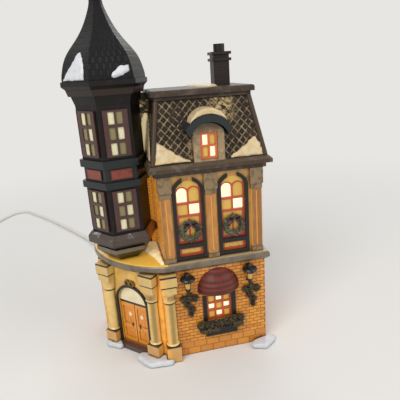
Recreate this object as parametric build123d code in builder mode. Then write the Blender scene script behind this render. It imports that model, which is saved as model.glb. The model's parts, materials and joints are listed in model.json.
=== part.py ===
"""Lit ceramic village house: corner entrance, hexagonal tower with an onion dome, clip-in lamp on a cord.

Millimetres, +Z up, the front faces -Y. The origin is the middle of the base, on the table.
"""

import os
from math import atan2, cos, degrees, dist, pi, radians, sin, sqrt, tan

from build123d import *

# Clearances
FIT = 0.1                      # between pieces of the house that are set into each other
GAP = 0.4                      # between bodies that move against each other
RUN = 0.05                     # radial running fit of a pin in its hole

PAST_HOUSE = 400.0             # reach of cutting shapes that go past the whole house

# Storey heights, each on the one below
GROUND_HEIGHT = 84.0
LEDGE_THICK = 7.6
UPPER_HEIGHT = 73.9
EAVE_THICK = 9.5
MANSARD_HEIGHT = 47.8
CAP_THICK = 7.7
LEDGE_FOOT = GROUND_HEIGHT
LEDGE_TOP = LEDGE_FOOT + LEDGE_THICK
EAVE_FOOT = LEDGE_TOP + UPPER_HEIGHT
EAVE_TOP = EAVE_FOOT + EAVE_THICK
MANSARD_TOP = EAVE_TOP + MANSARD_HEIGHT
CAP_TOP = MANSARD_TOP + CAP_THICK

# Ground storey: right, front, left and back faces, and the corner entrance at 45 degrees
WALL = 4.0
GROUND_RIGHT = 71.0
GROUND_FRONT = -38.6
GROUND_LEFT = -71.5
GROUND_BACK = 48.0
ENTRANCE_X = -45.9             # middle of the entrance, on the face of its wall
ENTRANCE_Y = -14.6
ENTRANCE_HEADING = -135.0
FLOOR = 3.0

# Ledge over the ground storey
LEDGE_FRONT = -43.0
LEDGE_RIGHT = 74.5
LEDGE_LEFT = -74.5
LEDGE_BACK = 51.5
LEDGE_ARC_FRONT = -17.5        # where the rounded corner leaves the front edge
LEDGE_ARC_MID = (-55.5, -18.0)
LEDGE_ARC_SIDE = 26.0          # where it meets the left edge
LEDGE_ROUND = 2.6
LIGHT_HOLE = (58.0, 50.0)      # opening that lets the light up

# Upper storey
UPPER_LEFT = -15.5
UPPER_RIGHT = 70.5
UPPER_FRONT = -36.0
UPPER_BACK = 40.0

# Eave, mansard roof and cap
EAVE_STEP = 3.2
EAVE_OUT = 7.4
EAVE_BAND = 4.0                # height of the lower moulding
EAVE_RING = 9.0                # width of the ring inside the wall line
EAVE_CHAMFER = 2.4
ROOF_FOOT_OUT = 2.8
ROOF_TOP_IN = 5.4              # sides, at the top
ROOF_FRONT_IN = 12.0           # front and back, at the top
ROOF_WALL = 4.0
RIB_RADIUS = 2.0
ROOF_LINK_LEFT = -30.0         # roof that runs on to the tower: left end, front and back
ROOF_LINK_FRONT = 12.0
ROOF_LINK_BACK = 27.0
ROOF_LINK_CAP = 5.5            # height of the cap over it
CAP_STEP = 1.6
CAP_OUT = 4.2
CAP_BAND = 3.0
CAP_ROUND = 1.8

# Chimney
CHIMNEY_X = 49.0
CHIMNEY_Y = 0.0
CHIMNEY_WIDTH = 13.3
CHIMNEY_DEPTH = 12.0
CHIMNEY_HEIGHT = 26.5
CHIMNEY_TOP = CAP_TOP + CHIMNEY_HEIGHT
CHIMNEY_LEDGE = 1.5
CHIMNEY_LEDGE_HEIGHT = 2.2
CHIMNEY_LEDGE_SPACE = 5.0
POT_RADIUS = 4.6
POT_BORE = 3.0
POT_HEIGHT = 6.2
POT_ROUND = 0.6

# Dormer
DORMER_X = 26.6
DORMER_WIDTH = 25.0
DORMER_FRONT = -40.5
DORMER_WALL = 23.5             # height of its walls above the eave
DORMER_SPRING = EAVE_TOP + DORMER_WALL
DORMER_RISE = 6.5
DORMER_SASH_WIDTH = 14.0
DORMER_SASH_SILL = 1.8
DORMER_SASH_FOOT = EAVE_TOP + DORMER_SASH_SILL
DORMER_SASH_HEAD = 0.7
DORMER_SASH_HEIGHT = DORMER_WALL - DORMER_SASH_SILL - DORMER_SASH_HEAD
DORMER_SASH_BACK = 0.8
DORMER_SASH_BAR = 1.4
DORMER_SASH_EDGE = (1.9, 1.8)  # beside the panes, and over and under them
DORMER_PANE = (
    (DORMER_SASH_WIDTH - DORMER_SASH_BAR) / 2 - DORMER_SASH_EDGE[0],
    (DORMER_SASH_HEIGHT - DORMER_SASH_BAR) / 2 - DORMER_SASH_EDGE[1],
)
HOOD_WIDTH = 36.5
HOOD_LIFT = 2.5                # over the top of the dormer's walls
HOOD_FOOT = DORMER_SPRING + HOOD_LIFT
HOOD_RISE = 10.5
HOOD_THICK = 5.5
HOOD_FRONT = -45.5
HOOD_TUCK = 3.0                # how far its lower ends are drawn in
HOOD_SNOW = 5.0
HOOD_SNOW_BACK = 0.8
HOOD_SNOW_WIDTH = 31.0

# Tower on the entrance corner: a hexagon turned a little towards the door
TOWER_X = -45.7
TOWER_Y = -1.2
TOWER_TURN = 9.4               # direction of its first corner
CORBEL_FOOT_SIDE = 15.0
CORBEL_SIDE = 24.6
CORBEL_HEIGHT = 8.9
CORBEL_RING_HEIGHT = 3.5
CORBEL_TOP = LEDGE_TOP + CORBEL_HEIGHT
CORBEL_RING_TOP = CORBEL_TOP + CORBEL_RING_HEIGHT
SILL_NECK_SIDE = 22.8
SILL_NECK_HEIGHT = 5.0
SILL_NECK_TOP = CORBEL_RING_TOP + SILL_NECK_HEIGHT
SILL_SIDE = 30.4
SILL_EDGE_HEIGHT = 5.5
SILL_SLOPE_HEIGHT = 3.5
SILL_SLOPE_FOOT = SILL_NECK_TOP + SILL_EDGE_HEIGHT
SILL_TOP = SILL_SLOPE_FOOT + SILL_SLOPE_HEIGHT
TOWER_SIDE = 25.7
TOWER_WALL = 3.6
TOWER_LOWER_HEIGHT = 39.5
BAND_FOOT = SILL_TOP + TOWER_LOWER_HEIGHT
BAND_LOW_MOULD = 5.5
BAND_FIELD = 11.5
BAND_HIGH_MOULD = 6.0
BAND_MOULD_LOW = BAND_FOOT + BAND_LOW_MOULD
BAND_MOULD_HIGH = BAND_MOULD_LOW + BAND_FIELD
BAND_TOP = BAND_MOULD_HIGH + BAND_HIGH_MOULD
BAND_SIDE = 28.4
PANEL_MARGIN = 1.75            # between a panel and the mouldings over and under it
PANEL_SIZE = (17.5, BAND_FIELD - 2 * PANEL_MARGIN)
PANEL_PROUD = 1.0
TOWER_UPPER_HEIGHT = 42.2
TOWER_TOP = BAND_TOP + TOWER_UPPER_HEIGHT
FRIEZE_SIDE = 28.2
FRIEZE_HEIGHT = 7.3
FRIEZE_TOP = TOWER_TOP + FRIEZE_HEIGHT
CORNICE_SIDE = 34.4
CORNICE_STEP = 31.6
CORNICE_FLARE = 1.6            # how much narrower the step is at its foot
CORNICE_STEP_HEIGHT = 5.0
CORNICE_SLOPE_HEIGHT = 2.5
CORNICE_EDGE_HEIGHT = 3.5
CORNICE_STEP_TOP = FRIEZE_TOP + CORNICE_STEP_HEIGHT
CORNICE_SLOPE_TOP = CORNICE_STEP_TOP + CORNICE_SLOPE_HEIGHT
CORNICE_TOP = CORNICE_SLOPE_TOP + CORNICE_EDGE_HEIGHT
DOME_SECTIONS = (              # height above the cornice and side of the hexagon
    (0, 33.0),
    (7, 32.0),
    (13, 30.2),
    (19, 27.2),
    (25, 22.6),
    (31, 17.6),
    (37, 13.4),
    (43, 10.1),
    (50, 7.0),
    (58, 4.9),
)
COLLAR_RADIUS = 5.6
COLLAR_HEIGHT = 2.4
COLLAR_ROUND = 0.8
BALL_RADIUS = 3.6
BALL_SINK = 0.72               # how deep the ball sits in its collar
SPIKE_RADIUS = 1.4
SPIKE_TIP = 0.5
SPIKE_HEIGHT = 4.0
SPIKE_SINK = 0.5
TOWER_SASH_WIDTH = 19.5
TOWER_SASH_THICK = 1.6
TOWER_SASH_EDGE = 1.35         # over and under the panes
TOWER_PANE_WIDTH = 5.0
TOWER_PANE_PITCH = 6.6
TOWER_PANE_ROWS = 3
TOWER_BAR = 2.4                # between two rows of panes
TOWER_PANE_DEPTH = 0.8
TOWER_STOREYS = (              # foot, top, and what is left under and over the sashes
    ("lower", SILL_TOP, BAND_FOOT, 3.0, 2.0),
    ("upper", BAND_TOP, TOWER_TOP, 2.5, 3.7),
)
TOWER_SASH_FACES = (-140.6, -80.6, 159.4, 99.4)
LINK_WIDTH = 18.0              # wall that joins the tower to the upper storey
LINK_Y = 10.0
LINK_TUCK = 6.0                # how far it reaches inside the tower's wall line

# Arched windows of the upper storey
ARCH_X = (7.6, 45.0)
ARCH_FRAME_WIDTH = 26.4
ARCH_FRAME_BAND = 2.9
ARCH_DROP = 12.0               # from the eave to where the round head starts
ARCH_SPRING = EAVE_FOOT - ARCH_DROP
ARCH_RISE = 10.0
ARCH_LIFT = 0.8                # from the ledge to the frame
ARCH_FOOT = LEDGE_TOP + ARCH_LIFT
ARCH_FRAME_PROUD = 2.0
ARCH_KEY_GAP = 8.6
ARCH_BAR_RISE = 10.6
ARCH_BAR_THICK = 3.6
ARCH_BAR_FOOT = ARCH_FOOT + ARCH_BAR_RISE
ARCH_BAR_TOP = ARCH_BAR_FOOT + ARCH_BAR_THICK
ARCH_SASH_BACK = 0.8
ARCH_SASH_THICK = 2.6
ARCH_PANE_WIDTH = 8.6
ARCH_PANE_X = 4.9
ARCH_HIGH_PANE = 8.0           # height of the round-headed pane's straight part
ARCH_LOW_PANE = 9.0
ARCH_PANE_HEAD = 3.5           # from the frame's spring down to the pane's
ARCH_PANE_BAR = 1.8
ARCH_PANE_SPRING = ARCH_SPRING - ARCH_PANE_HEAD
ARCH_HIGH_FOOT = ARCH_PANE_SPRING - ARCH_HIGH_PANE
ARCH_LOW_TOP = ARCH_HIGH_FOOT - ARCH_PANE_BAR
ARCH_LOW_FOOT = ARCH_LOW_TOP - ARCH_LOW_PANE
ARCH_PANEL_INSET = 1.8
WREATH_RISE = 10.8             # middle of the wreath over the bar
WREATH_Z = ARCH_BAR_TOP + WREATH_RISE
WREATH_RADIUS = 7.2
WREATH_THICK = 2.9
BOW_WIDTH = 11.0
BOW_HEIGHT = 5.2
BOW_WAIST = 1.6
BOW_KNOT = 1.5
BOW_THICK = 1.4
BOW_RISE = 4.6                 # above the wreath's middle

# Pilasters of the upper storey
PILASTER_X = (-11.2, 26.3, 65.2)
PILASTER_WIDTH = 8.2
PILASTER_PROUD = 2.4
PILASTER_FLUTE = 1.1
FLUTE_DEPTH = 0.7
FLUTE_MARGIN = 2.0
CAPITAL_HEIGHT = 17.5
CAPITAL_STEP = 4.0
CAPITAL_FOOT = EAVE_FOOT - CAPITAL_HEIGHT
CAPITAL_GROW = 1.4
BASE_HEIGHT = 4.0

# Entrance
DOOR_WIDTH = 33.0
DOOR_FOOT = 4.5
DOOR_SPRING = 45.0
DOOR_RISE = 18.5
DOOR_BACK = 1.6                # door face behind the wall face
DOOR_THICK = 2.2
DOOR_SEAM = 0.8
DOOR_STILE = 2.5               # edge of a leaf beside its panels
DOOR_RAIL = 4.0
DOOR_LOW_PANEL = 10.0
DOOR_HIGH_PANEL = 18.0
DOOR_PANEL_DEPTH = 0.7
ENTRANCE_BAND = 2.0
ENTRANCE_PROUD = 1.8
SCROLL_RADIUS = 3.0
SCROLL_THICK = 1.3
SCROLL_X = 2.6                 # each scroll's middle beside the arch's crown
SCROLL_RISE = 2.1              # its middle over the arch's outer edge
SCROLL_Z = DOOR_SPRING + DOOR_RISE + ENTRANCE_BAND + SCROLL_RISE
STEP_WIDTH = 35.0
STEP_OUT = 6.0
COLUMN_ALONG = 24.8            # from the middle of the door
COLUMN_FRONT_X = -15.6
COLUMN_OUT = 1.4               # axis in front of the wall face
COLUMN_RADIUS = 4.9
COLUMN_PLINTH = (12.4, 15.0)
COLUMN_BASE_HEIGHT = 3.0
COLUMN_BASE_TOP = COLUMN_PLINTH[1] + COLUMN_BASE_HEIGHT
COLUMN_TORUS = 1.8             # straight part of the base ring
COLUMN_RING = 1.0              # how far the base ring stands out
COLUMN_TAPER = 0.2
COLUMN_NECK_RING = (0.9, 0.8)  # out from the shaft, and up from its top
COLUMN_NECK_HOLLOW = (0.4, 2.2)
COLUMN_BELL = 9.5
COLUMN_BELL_GROW = 1.4
COLUMN_BLOCK = 12.6
COLUMN_BLOCK_HEIGHT = 7.0
COLUMN_HEAD_GROW = 1.6
COLUMN_HEAD_HEIGHT = 10.0
COLUMN_BLOCK_TOP = LEDGE_FOOT - COLUMN_HEAD_HEIGHT
COLUMN_BELL_TOP = COLUMN_BLOCK_TOP - COLUMN_BLOCK_HEIGHT
COLUMN_SHAFT_TOP = COLUMN_BELL_TOP - COLUMN_BELL

# Shop window
SHOP_X = 28.2
SHOP_WIDTH = 22.6
SHOP_FOOT = 32.0
SHOP_TOP = 56.4
SHOP_SASH_THICK = 2.6
SHOP_SASH_BACK = 0.6
SHOP_PANE = (5.2, 5.8)
SHOP_PANE_PITCH = (6.8, 7.5)
SHUTTER_WIDTH = 3.4
SHUTTER_THICK = 1.6
AWNING_HALF = 18.6
AWNING_OUT = 11.0
AWNING_LIFT = 4.1              # over the window
AWNING_HEIGHT = 21.5
AWNING_FOOT = SHOP_TOP + AWNING_LIFT
AWNING_TOP = AWNING_FOOT + AWNING_HEIGHT
AWNING_BELLY = (0.22, 0.6)     # shares of its reach and height where it bulges
BOX_WIDTH = 28.2
BOX_HEIGHT = 9.2
BOX_DROP = 5.0                 # under the window
BOX_TOP = SHOP_FOOT - BOX_DROP
BOX_FOOT = BOX_TOP - BOX_HEIGHT
BOX_OUT = 7.0
BOX_CHAMFER = 2.5
GREENERY_SPAN = 43.0
GREENERY_RADIUS = 5.0
GREENERY_BUMP = 0.6            # every second clump is larger, the others smaller
GREENERY_RISE = 1.5            # middle of the clumps over the box
GREENERY_LIFT = (0.5, 2.4)     # how far the clumps rise towards the left and right ends
GREENERY_LAYERS = ((0.0, 6.0), (1.2, 8.4))   # smaller by, out to
GREENERY_COUNT = 7
LANTERN_X = (0.7, 55.4)
LANTERN_DROP = 19.0            # from the ledge to the lantern's foot
LANTERN_FOOT = LEDGE_FOOT - LANTERN_DROP
LANTERN_CAP_FOOT = 4.3         # radius of the cap over the glass
LANTERN_CAP_RADIUS = 6.6
LANTERN_CAP_EDGE = 2.4         # height of the cap's widest place
LANTERN_CAP_HEIGHT = 5.9
LANTERN_SHOULDER = (5.6, 4.0)  # radius and height where the cap turns in
LANTERN_NECK_RADIUS = 1.6
LANTERN_KNOB_RADIUS = 0.8
LANTERN_KNOB_HEIGHT = 1.6
LANTERN_GLASS_RADII = (2.2, 4.0)
LANTERN_GLASS_HEIGHT = 6.6
LANTERN_CUP_HEIGHT = 4.0
LANTERN_CUP_RADII = (1.2, 2.2)
LANTERN_TIP = 1.0
LANTERN_GLASS_FOOT = LANTERN_FOOT + LANTERN_CUP_HEIGHT
LANTERN_GLASS_TOP = LANTERN_GLASS_FOOT + LANTERN_GLASS_HEIGHT
LANTERN_CAP_TOP = LANTERN_GLASS_TOP + LANTERN_CAP_HEIGHT
LANTERN_OUT = 5.8              # axis in front of the wall
LANTERN_PLATE = 1.4
LANTERN_PLATE_WIDTH = 3.4
LANTERN_ARM = (1.6, 2.0)
HANGING_X = (1.6, 57.6)
HANGING_DROP = 8.0             # under the lantern
HANGING_TOP = LANTERN_FOOT - HANGING_DROP
HANGING_OUT = 1.4
HANGING_BALLS = (              # across, down and radius
    (-5.0, 0.0, 4.0),
    (0.0, -1.5, 4.6),
    (5.0, 0.0, 4.0),
    (-1.5, 6.0, 3.8),
    (2.0, 10.5, 3.2),
    (1.0, 15.0, 2.4),
)

# Snow at the foot of the walls
SNOW_HEIGHT = 5.0
SNOW_ROUND = 2.4
SNOW_SPOTS = (
    ((-42.5, -32.5, 5.0), (-35.0, -42.0, 6.0), (-21.0, -44.6, 5.0)),
    ((-70.0, 10.0, 4.0), (-69.0, -1.5, 4.6), (-61.5, -8.0, 4.0)),
    ((59.5, -46.0, 4.4), (66.0, -47.6, 4.8), (75.0, -41.0, 4.5)),
)

# Clip-in lamp in the back wall
LAMP_Z = 46.0
LAMP_HOLE = 19.0
FLANGE_RADIUS = 22.5
FLANGE_THICK = 2.0
SOCKET_RADIUS = 9.6
SOCKET_MOUTH = 26.0            # front end, Y
SOCKET_REAR = 61.0
SOCKET_FLOOR = 51.0            # bottom of its bore, Y
SHELL_THICK = 0.5
BULB_THREAD = 5.9              # crest radius of the E12 screw base
THREAD_PITCH = 2.5
THREAD_DEPTH = 0.5
CONTACT_RADIUS = 2.6
CONTACT_THICK = 0.8
SHELL_MARGIN = (2.0, 1.0)      # from the socket's mouth and from its floor
CLIP_WIDTH = 9.0
CLIP_THICK = 0.6
CLIP_COLLAR = 5.0
CLIP_LIP = 1.0                 # from the socket's mouth to the collar
CLIP_ARM = 3.0                 # from the socket's mouth to where an arm starts
CLIP_ROOT = 0.3                # how far an arm is sunk in the collar
CLIP_SHOULDER = 4.0            # straight part of an arm behind the wall's face
CLIP_BEND = 1.0
CLIP_TAIL = 4.0                # how far an arm turns in again
CLIP_TIP = 0.8
CLIP_MITRE = 0.2
BULB_RADIUS = 10.5
BULB_NECK = 28.0               # where the glass meets the base, Y
BULB_WIDEST = 13.0
BULB_TIP = -12.0
BULB_UPPER = (0.85, 0.55)      # share of its radius, and of the way from its middle to its neck
BULB_SHOULDER = (0.75, 0.64)   # and of the way from its middle to its tip
BULB_COLLAR = 3.0              # smooth part of the base beside the glass
BULB_TAPER = 4.0               # room behind the thread
BULB_CONTACT = (2.6, 2.2)
BULB_CONTACT_HEIGHT = 1.0
RELIEF_RADIUS = 4.6
RELIEF_COLLAR = 3.0
RELIEF_WALL = 0.8
RELIEF_LENGTH = 20.0

# Cord
CORD = 5.0
COIL_PITCH = 5.6
COIL_OUTER = 36.0
COIL_IN_HALVES = 5
COIL_OUT_HALVES = 4
COIL_Y = 152.0
TIE_THICK = 1.2
TIE_WIDTH = 4.0
TIE_ROOM = 0.3
TIE_ROUND = (2.6, 1.4)
COIL_LOW_Z = CORD / 2 + TIE_THICK + FIT
COIL_HIGH_Z = COIL_LOW_Z + COIL_PITCH
SWITCH_LENGTH = 46.0
SWITCH_WIDTH = 21.0
SWITCH_HEIGHT = 13.0
SWITCH_SPLIT = 6.5
SWITCH_CORNER = 4.0
SWITCH_FOOT_ROUND = 1.2
SWITCH_TOP_ROUND = 2.2
SWITCH_CORD_Z = 4.2
WHEEL_RADIUS = 7.5
WHEEL_THICK = 4.4
WHEEL_SHOW = 2.4               # how far the wheel stands out of the housing's side
WHEEL_PIN = 1.6
WHEEL_PIN_REACH = 1.6          # pin past the wheel's pocket
WHEEL_NOTCHES = 24
WHEEL_NOTCH = 0.6
WHEEL_NOTCH_OUT = 0.25
SCREW_RADIUS = 1.6
SCREW_HEAD = 2.7
SCREW_SPOT = (7.0, -3.0)       # from the housing's end and from its middle line
SCREW_DEPTH = 4.2
SCREW_SINK = 2.2
SCREW_HEAD_THICK = 1.6
SCREW_SLOT = 0.7
PLUG_LENGTH = 30.0
PLUG_WIDTH = 24.0
PLUG_HEIGHT = 12.0
PLUG_GRIP = 0.45               # share of its length that tapers to the cord
PLUG_REAR = (0.6, 0.8)
PLUG_CORNER = 3.0
BLADE = (6.4, 1.6, 16.0)
BLADE_SPACING = 12.7
BLADE_CHAMFER = 0.4
COIL_SAMPLES = 900
COIL_SAME = 4                  # cord widths along the path that count as the same turn
BEND_SHARE = 0.45              # share of the shorter run that a bend takes
SWITCH_STRAIGHT = 18.0         # straight run past the switch

CORD_EXIT_Y = SOCKET_REAR + RELIEF_LENGTH
LEAD_ROUTE = (
    (0, CORD_EXIT_Y, LAMP_Z),
    (0, 97, LAMP_Z),
    (0, 114, 29),
    (0, 129, 11),
    (0, 139, COIL_LOW_Z),
    (0, COIL_Y, COIL_LOW_Z),
)
MID_ROUTE = (
    (COIL_PITCH, COIL_Y, COIL_HIGH_Z),
    (COIL_PITCH, 166, COIL_HIGH_Z),
    (1, 179, 8.8),
    (-7, 189, 5.6),
    (-17, 196.5, SWITCH_CORD_Z),
    (-29, 204, SWITCH_CORD_Z),
)
SWITCH_HEADING = degrees(atan2(MID_ROUTE[-1][1] - MID_ROUTE[-2][1], MID_ROUTE[-1][0] - MID_ROUTE[-2][0]))


def past_switch(way):
    """Point on the switch's axis the given way beyond the end of its entry."""
    return (
        MID_ROUTE[-1][0] + way * cos(radians(SWITCH_HEADING)),
        MID_ROUTE[-1][1] + way * sin(radians(SWITCH_HEADING)),
        SWITCH_CORD_Z,
    )


TAIL_ROUTE = (
    past_switch(SWITCH_LENGTH),
    past_switch(SWITCH_LENGTH + SWITCH_STRAIGHT),
    (-90, 262, CORD / 2),
    (-116, 311, CORD / 2),
    (-143, 358, CORD / 2),
    (-173, 407, CORD / 2),
    (-199, 443, CORD / 2),
    (-214, 466, CORD / 2),
    (-233, 467, CORD / 2),
    (-246, 449, CORD / 2),
    (-259, 424, CORD / 2),
    (-267, 405, PLUG_HEIGHT / 2),
    (-273.2, 390.3, PLUG_HEIGHT / 2),
)


def wall_plane(x, y, heading):
    """Upright plane: local X runs right and local Y up for someone facing it, local Z points out."""
    out = (cos(radians(heading)), sin(radians(heading)), 0)
    return Plane(origin=(x, y, 0), x_dir=(-out[1], out[0], 0), z_dir=out)


def outline(*points):
    """Closed face through the points."""
    with BuildSketch() as face:
        with BuildLine():
            Polyline(*points, close=True)
        make_face()
    return face.sketch


def arch(width, foot, spring, rise):
    """Upright opening with a round head."""
    with BuildSketch() as face:
        with BuildLine():
            Polyline((-width / 2, spring), (-width / 2, foot), (width / 2, foot), (width / 2, spring))
            ThreePointArc((width / 2, spring), (0, spring + rise), (-width / 2, spring))
        make_face()
    return face.sketch


def prism(face, foot, top):
    """Solid on a plan face between two heights."""
    with BuildPart() as solid:
        with BuildSketch(Plane.XY.offset(foot)):
            add(face)
        extrude(amount=top - foot)
    return solid.part


def box_between(low, high):
    """Solid box between two corners."""
    size = [b - a for a, b in zip(low, high)]
    middle = tuple((a + b) / 2 for a, b in zip(low, high))
    with BuildPart() as solid:
        with Locations(middle):
            Box(*size)
    return solid.part


def hexagon(side):
    """Tower plan with the given side."""
    with BuildSketch() as face:
        with Locations((TOWER_X, TOWER_Y)):
            RegularPolygon(side, 6, rotation=TOWER_TURN)
    return face.sketch


def hex_taper(low_side, high_side, foot, top):
    """Six-sided taper of the tower between two heights."""
    with BuildPart() as solid:
        with BuildSketch(Plane.XY.offset(foot)):
            add(hexagon(low_side))
        with BuildSketch(Plane.XY.offset(top)):
            add(hexagon(high_side))
        loft(ruled=True)
    return solid.part


def rectangle_taper(low, high, foot, top):
    """Roof body between two rectangles given as (left, right, front, back)."""
    with BuildPart() as solid:
        for (left, right, front, back), z in ((low, foot), (high, top)):
            with BuildSketch(Plane.XY.offset(z)):
                with Locations(((left + right) / 2, (front + back) / 2)):
                    Rectangle(right - left, back - front)
        loft(ruled=True)
    return solid.part


def save(piece, name):
    """Name the piece and write its STEP file."""
    piece.label = name
    export_step(piece, f"parts/{name}.step")


os.makedirs("parts", exist_ok=True)

entrance = wall_plane(ENTRANCE_X, ENTRANCE_Y, ENTRANCE_HEADING)
shop_wall = wall_plane(0, GROUND_FRONT, -90)
upper_wall = wall_plane(0, UPPER_FRONT, -90)
back_wall = wall_plane(0, GROUND_BACK, 90)
chamfer_sum = ENTRANCE_X + ENTRANCE_Y
ground_plan = outline(
    (GROUND_RIGHT, GROUND_FRONT),
    (chamfer_sum - GROUND_FRONT, GROUND_FRONT),
    (GROUND_LEFT, chamfer_sum - GROUND_LEFT),
    (GROUND_LEFT, GROUND_BACK),
    (GROUND_RIGHT, GROUND_BACK),
)
ground_block = prism(ground_plan, 0, LEDGE_FOOT)
tower_block = prism(hexagon(TOWER_SIDE + FIT), LEDGE_TOP, CORNICE_TOP)
band_block = prism(hexagon(BAND_SIDE + FIT), BAND_FOOT, BAND_TOP)
top_block = prism(hexagon(CORNICE_SIDE + FIT), TOWER_TOP, CORNICE_TOP)

# Ground storey: floor, walls, window, door and lamp openings
with BuildPart() as ground_storey:
    add(ground_block)
    with BuildSketch(Plane.XY.offset(FLOOR)):
        add(ground_plan)
        offset(amount=-WALL, mode=Mode.REPLACE)
    extrude(amount=LEDGE_FOOT, mode=Mode.SUBTRACT)
    with BuildSketch(shop_wall):
        with Locations((SHOP_X, (SHOP_FOOT + SHOP_TOP) / 2)):
            Rectangle(SHOP_WIDTH, SHOP_TOP - SHOP_FOOT)
    extrude(amount=-WALL, mode=Mode.SUBTRACT)
    with BuildSketch(entrance):
        add(arch(DOOR_WIDTH, DOOR_FOOT, DOOR_SPRING, DOOR_RISE))
    extrude(amount=-WALL, mode=Mode.SUBTRACT)
    with BuildSketch(back_wall):
        with Locations((0, LAMP_Z)):
            Circle(LAMP_HOLE)
    extrude(amount=-WALL, mode=Mode.SUBTRACT)
save(ground_storey.part, "ground_storey")

# Ledge with its rounded corner over the entrance
with BuildPart() as ledge:
    with BuildSketch(Plane.XY.offset(LEDGE_FOOT)):
        with BuildLine():
            Polyline(
                (LEDGE_ARC_FRONT, LEDGE_FRONT),
                (LEDGE_RIGHT, LEDGE_FRONT),
                (LEDGE_RIGHT, LEDGE_BACK),
                (LEDGE_LEFT, LEDGE_BACK),
                (LEDGE_LEFT, LEDGE_ARC_SIDE),
            )
            ThreePointArc((LEDGE_LEFT, LEDGE_ARC_SIDE), LEDGE_ARC_MID, (LEDGE_ARC_FRONT, LEDGE_FRONT))
        make_face()
    extrude(amount=LEDGE_TOP - LEDGE_FOOT)
    fillet(ledge.faces().sort_by(Axis.Z)[-1].edges(), radius=LEDGE_ROUND)
    chamfer(ledge.faces().sort_by(Axis.Z)[0].edges(), length=LEDGE_ROUND)
    with BuildSketch(Plane.XY.offset(LEDGE_FOOT)):
        with Locations(((UPPER_LEFT + UPPER_RIGHT) / 2, (UPPER_FRONT + UPPER_BACK) / 2)):
            Rectangle(*LIGHT_HOLE)
    extrude(amount=LEDGE_TOP - LEDGE_FOOT, mode=Mode.SUBTRACT)
save(ledge.part, "ledge")

# Upper storey with its two arched openings
upper_mid = ((UPPER_LEFT + UPPER_RIGHT) / 2, (UPPER_FRONT + UPPER_BACK) / 2)
upper_size = (UPPER_RIGHT - UPPER_LEFT, UPPER_BACK - UPPER_FRONT)
arch_inner = ARCH_FRAME_WIDTH - 2 * ARCH_FRAME_BAND
arch_hole = arch(arch_inner, ARCH_FOOT + ARCH_FRAME_BAND, ARCH_SPRING, ARCH_RISE - ARCH_FRAME_BAND)
with BuildPart() as upper_storey:
    with BuildSketch(Plane.XY.offset(LEDGE_TOP)):
        with Locations(upper_mid):
            Rectangle(*upper_size)
            Rectangle(upper_size[0] - 2 * WALL, upper_size[1] - 2 * WALL, mode=Mode.SUBTRACT)
    extrude(amount=EAVE_FOOT - LEDGE_TOP)
    with BuildSketch(upper_wall):
        with Locations(*[(x, 0) for x in ARCH_X]):
            add(arch_hole)
    extrude(amount=-WALL, mode=Mode.SUBTRACT)
save(upper_storey.part, "upper_storey")

# Eave moulding, cut back round the tower
eave_steps = (
    (EAVE_FOOT, EAVE_FOOT + EAVE_BAND, EAVE_STEP),
    (EAVE_FOOT + EAVE_BAND, EAVE_TOP, EAVE_OUT),
)
with BuildPart() as eave:
    for foot, top, out in eave_steps:
        with BuildSketch(Plane.XY.offset(foot)):
            with Locations(upper_mid):
                Rectangle(upper_size[0] + 2 * out, upper_size[1] + 2 * out)
                Rectangle(upper_size[0] - 2 * EAVE_RING, upper_size[1] - 2 * EAVE_RING, mode=Mode.SUBTRACT)
        extrude(amount=top - foot)
    outer_edges = eave.edges().filter_by(GeomType.LINE).group_by(Axis.Z)[-1]
    chamfer([e for e in outer_edges if e.length > upper_size[1]], length=EAVE_CHAMFER)
    add(tower_block, mode=Mode.SUBTRACT)
    add(band_block, mode=Mode.SUBTRACT)
save(eave.part, "eave")

# Mansard roof with its hip ribs, the link to the tower and the dormer's opening
roof_foot = (
    UPPER_LEFT - ROOF_FOOT_OUT,
    UPPER_RIGHT + ROOF_FOOT_OUT,
    UPPER_FRONT - ROOF_FOOT_OUT,
    UPPER_BACK + ROOF_FOOT_OUT,
)
roof_head = (
    UPPER_LEFT + ROOF_TOP_IN,
    UPPER_RIGHT - ROOF_TOP_IN,
    UPPER_FRONT + ROOF_FRONT_IN,
    UPPER_BACK - ROOF_FRONT_IN,
)
head_mid = ((roof_head[0] + roof_head[1]) / 2, (roof_head[2] + roof_head[3]) / 2)
head_size = (roof_head[1] - roof_head[0], roof_head[3] - roof_head[2])
inside = (ROOF_WALL, -ROOF_WALL, ROOF_WALL, -ROOF_WALL)
hollow_foot = [a + b for a, b in zip(roof_foot, inside)]
hollow_head = [a + b for a, b in zip(roof_head, inside)]
roof_block = rectangle_taper(roof_foot, roof_head, EAVE_TOP, MANSARD_TOP)
roof_hollow = rectangle_taper(hollow_foot, hollow_head, EAVE_TOP, MANSARD_TOP)
dormer_face = wall_plane(0, DORMER_FRONT, -90)
link_low = (ROOF_LINK_LEFT, ROOF_LINK_FRONT, EAVE_TOP)
link_high = (head_mid[0], ROOF_LINK_BACK, MANSARD_TOP)
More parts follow.
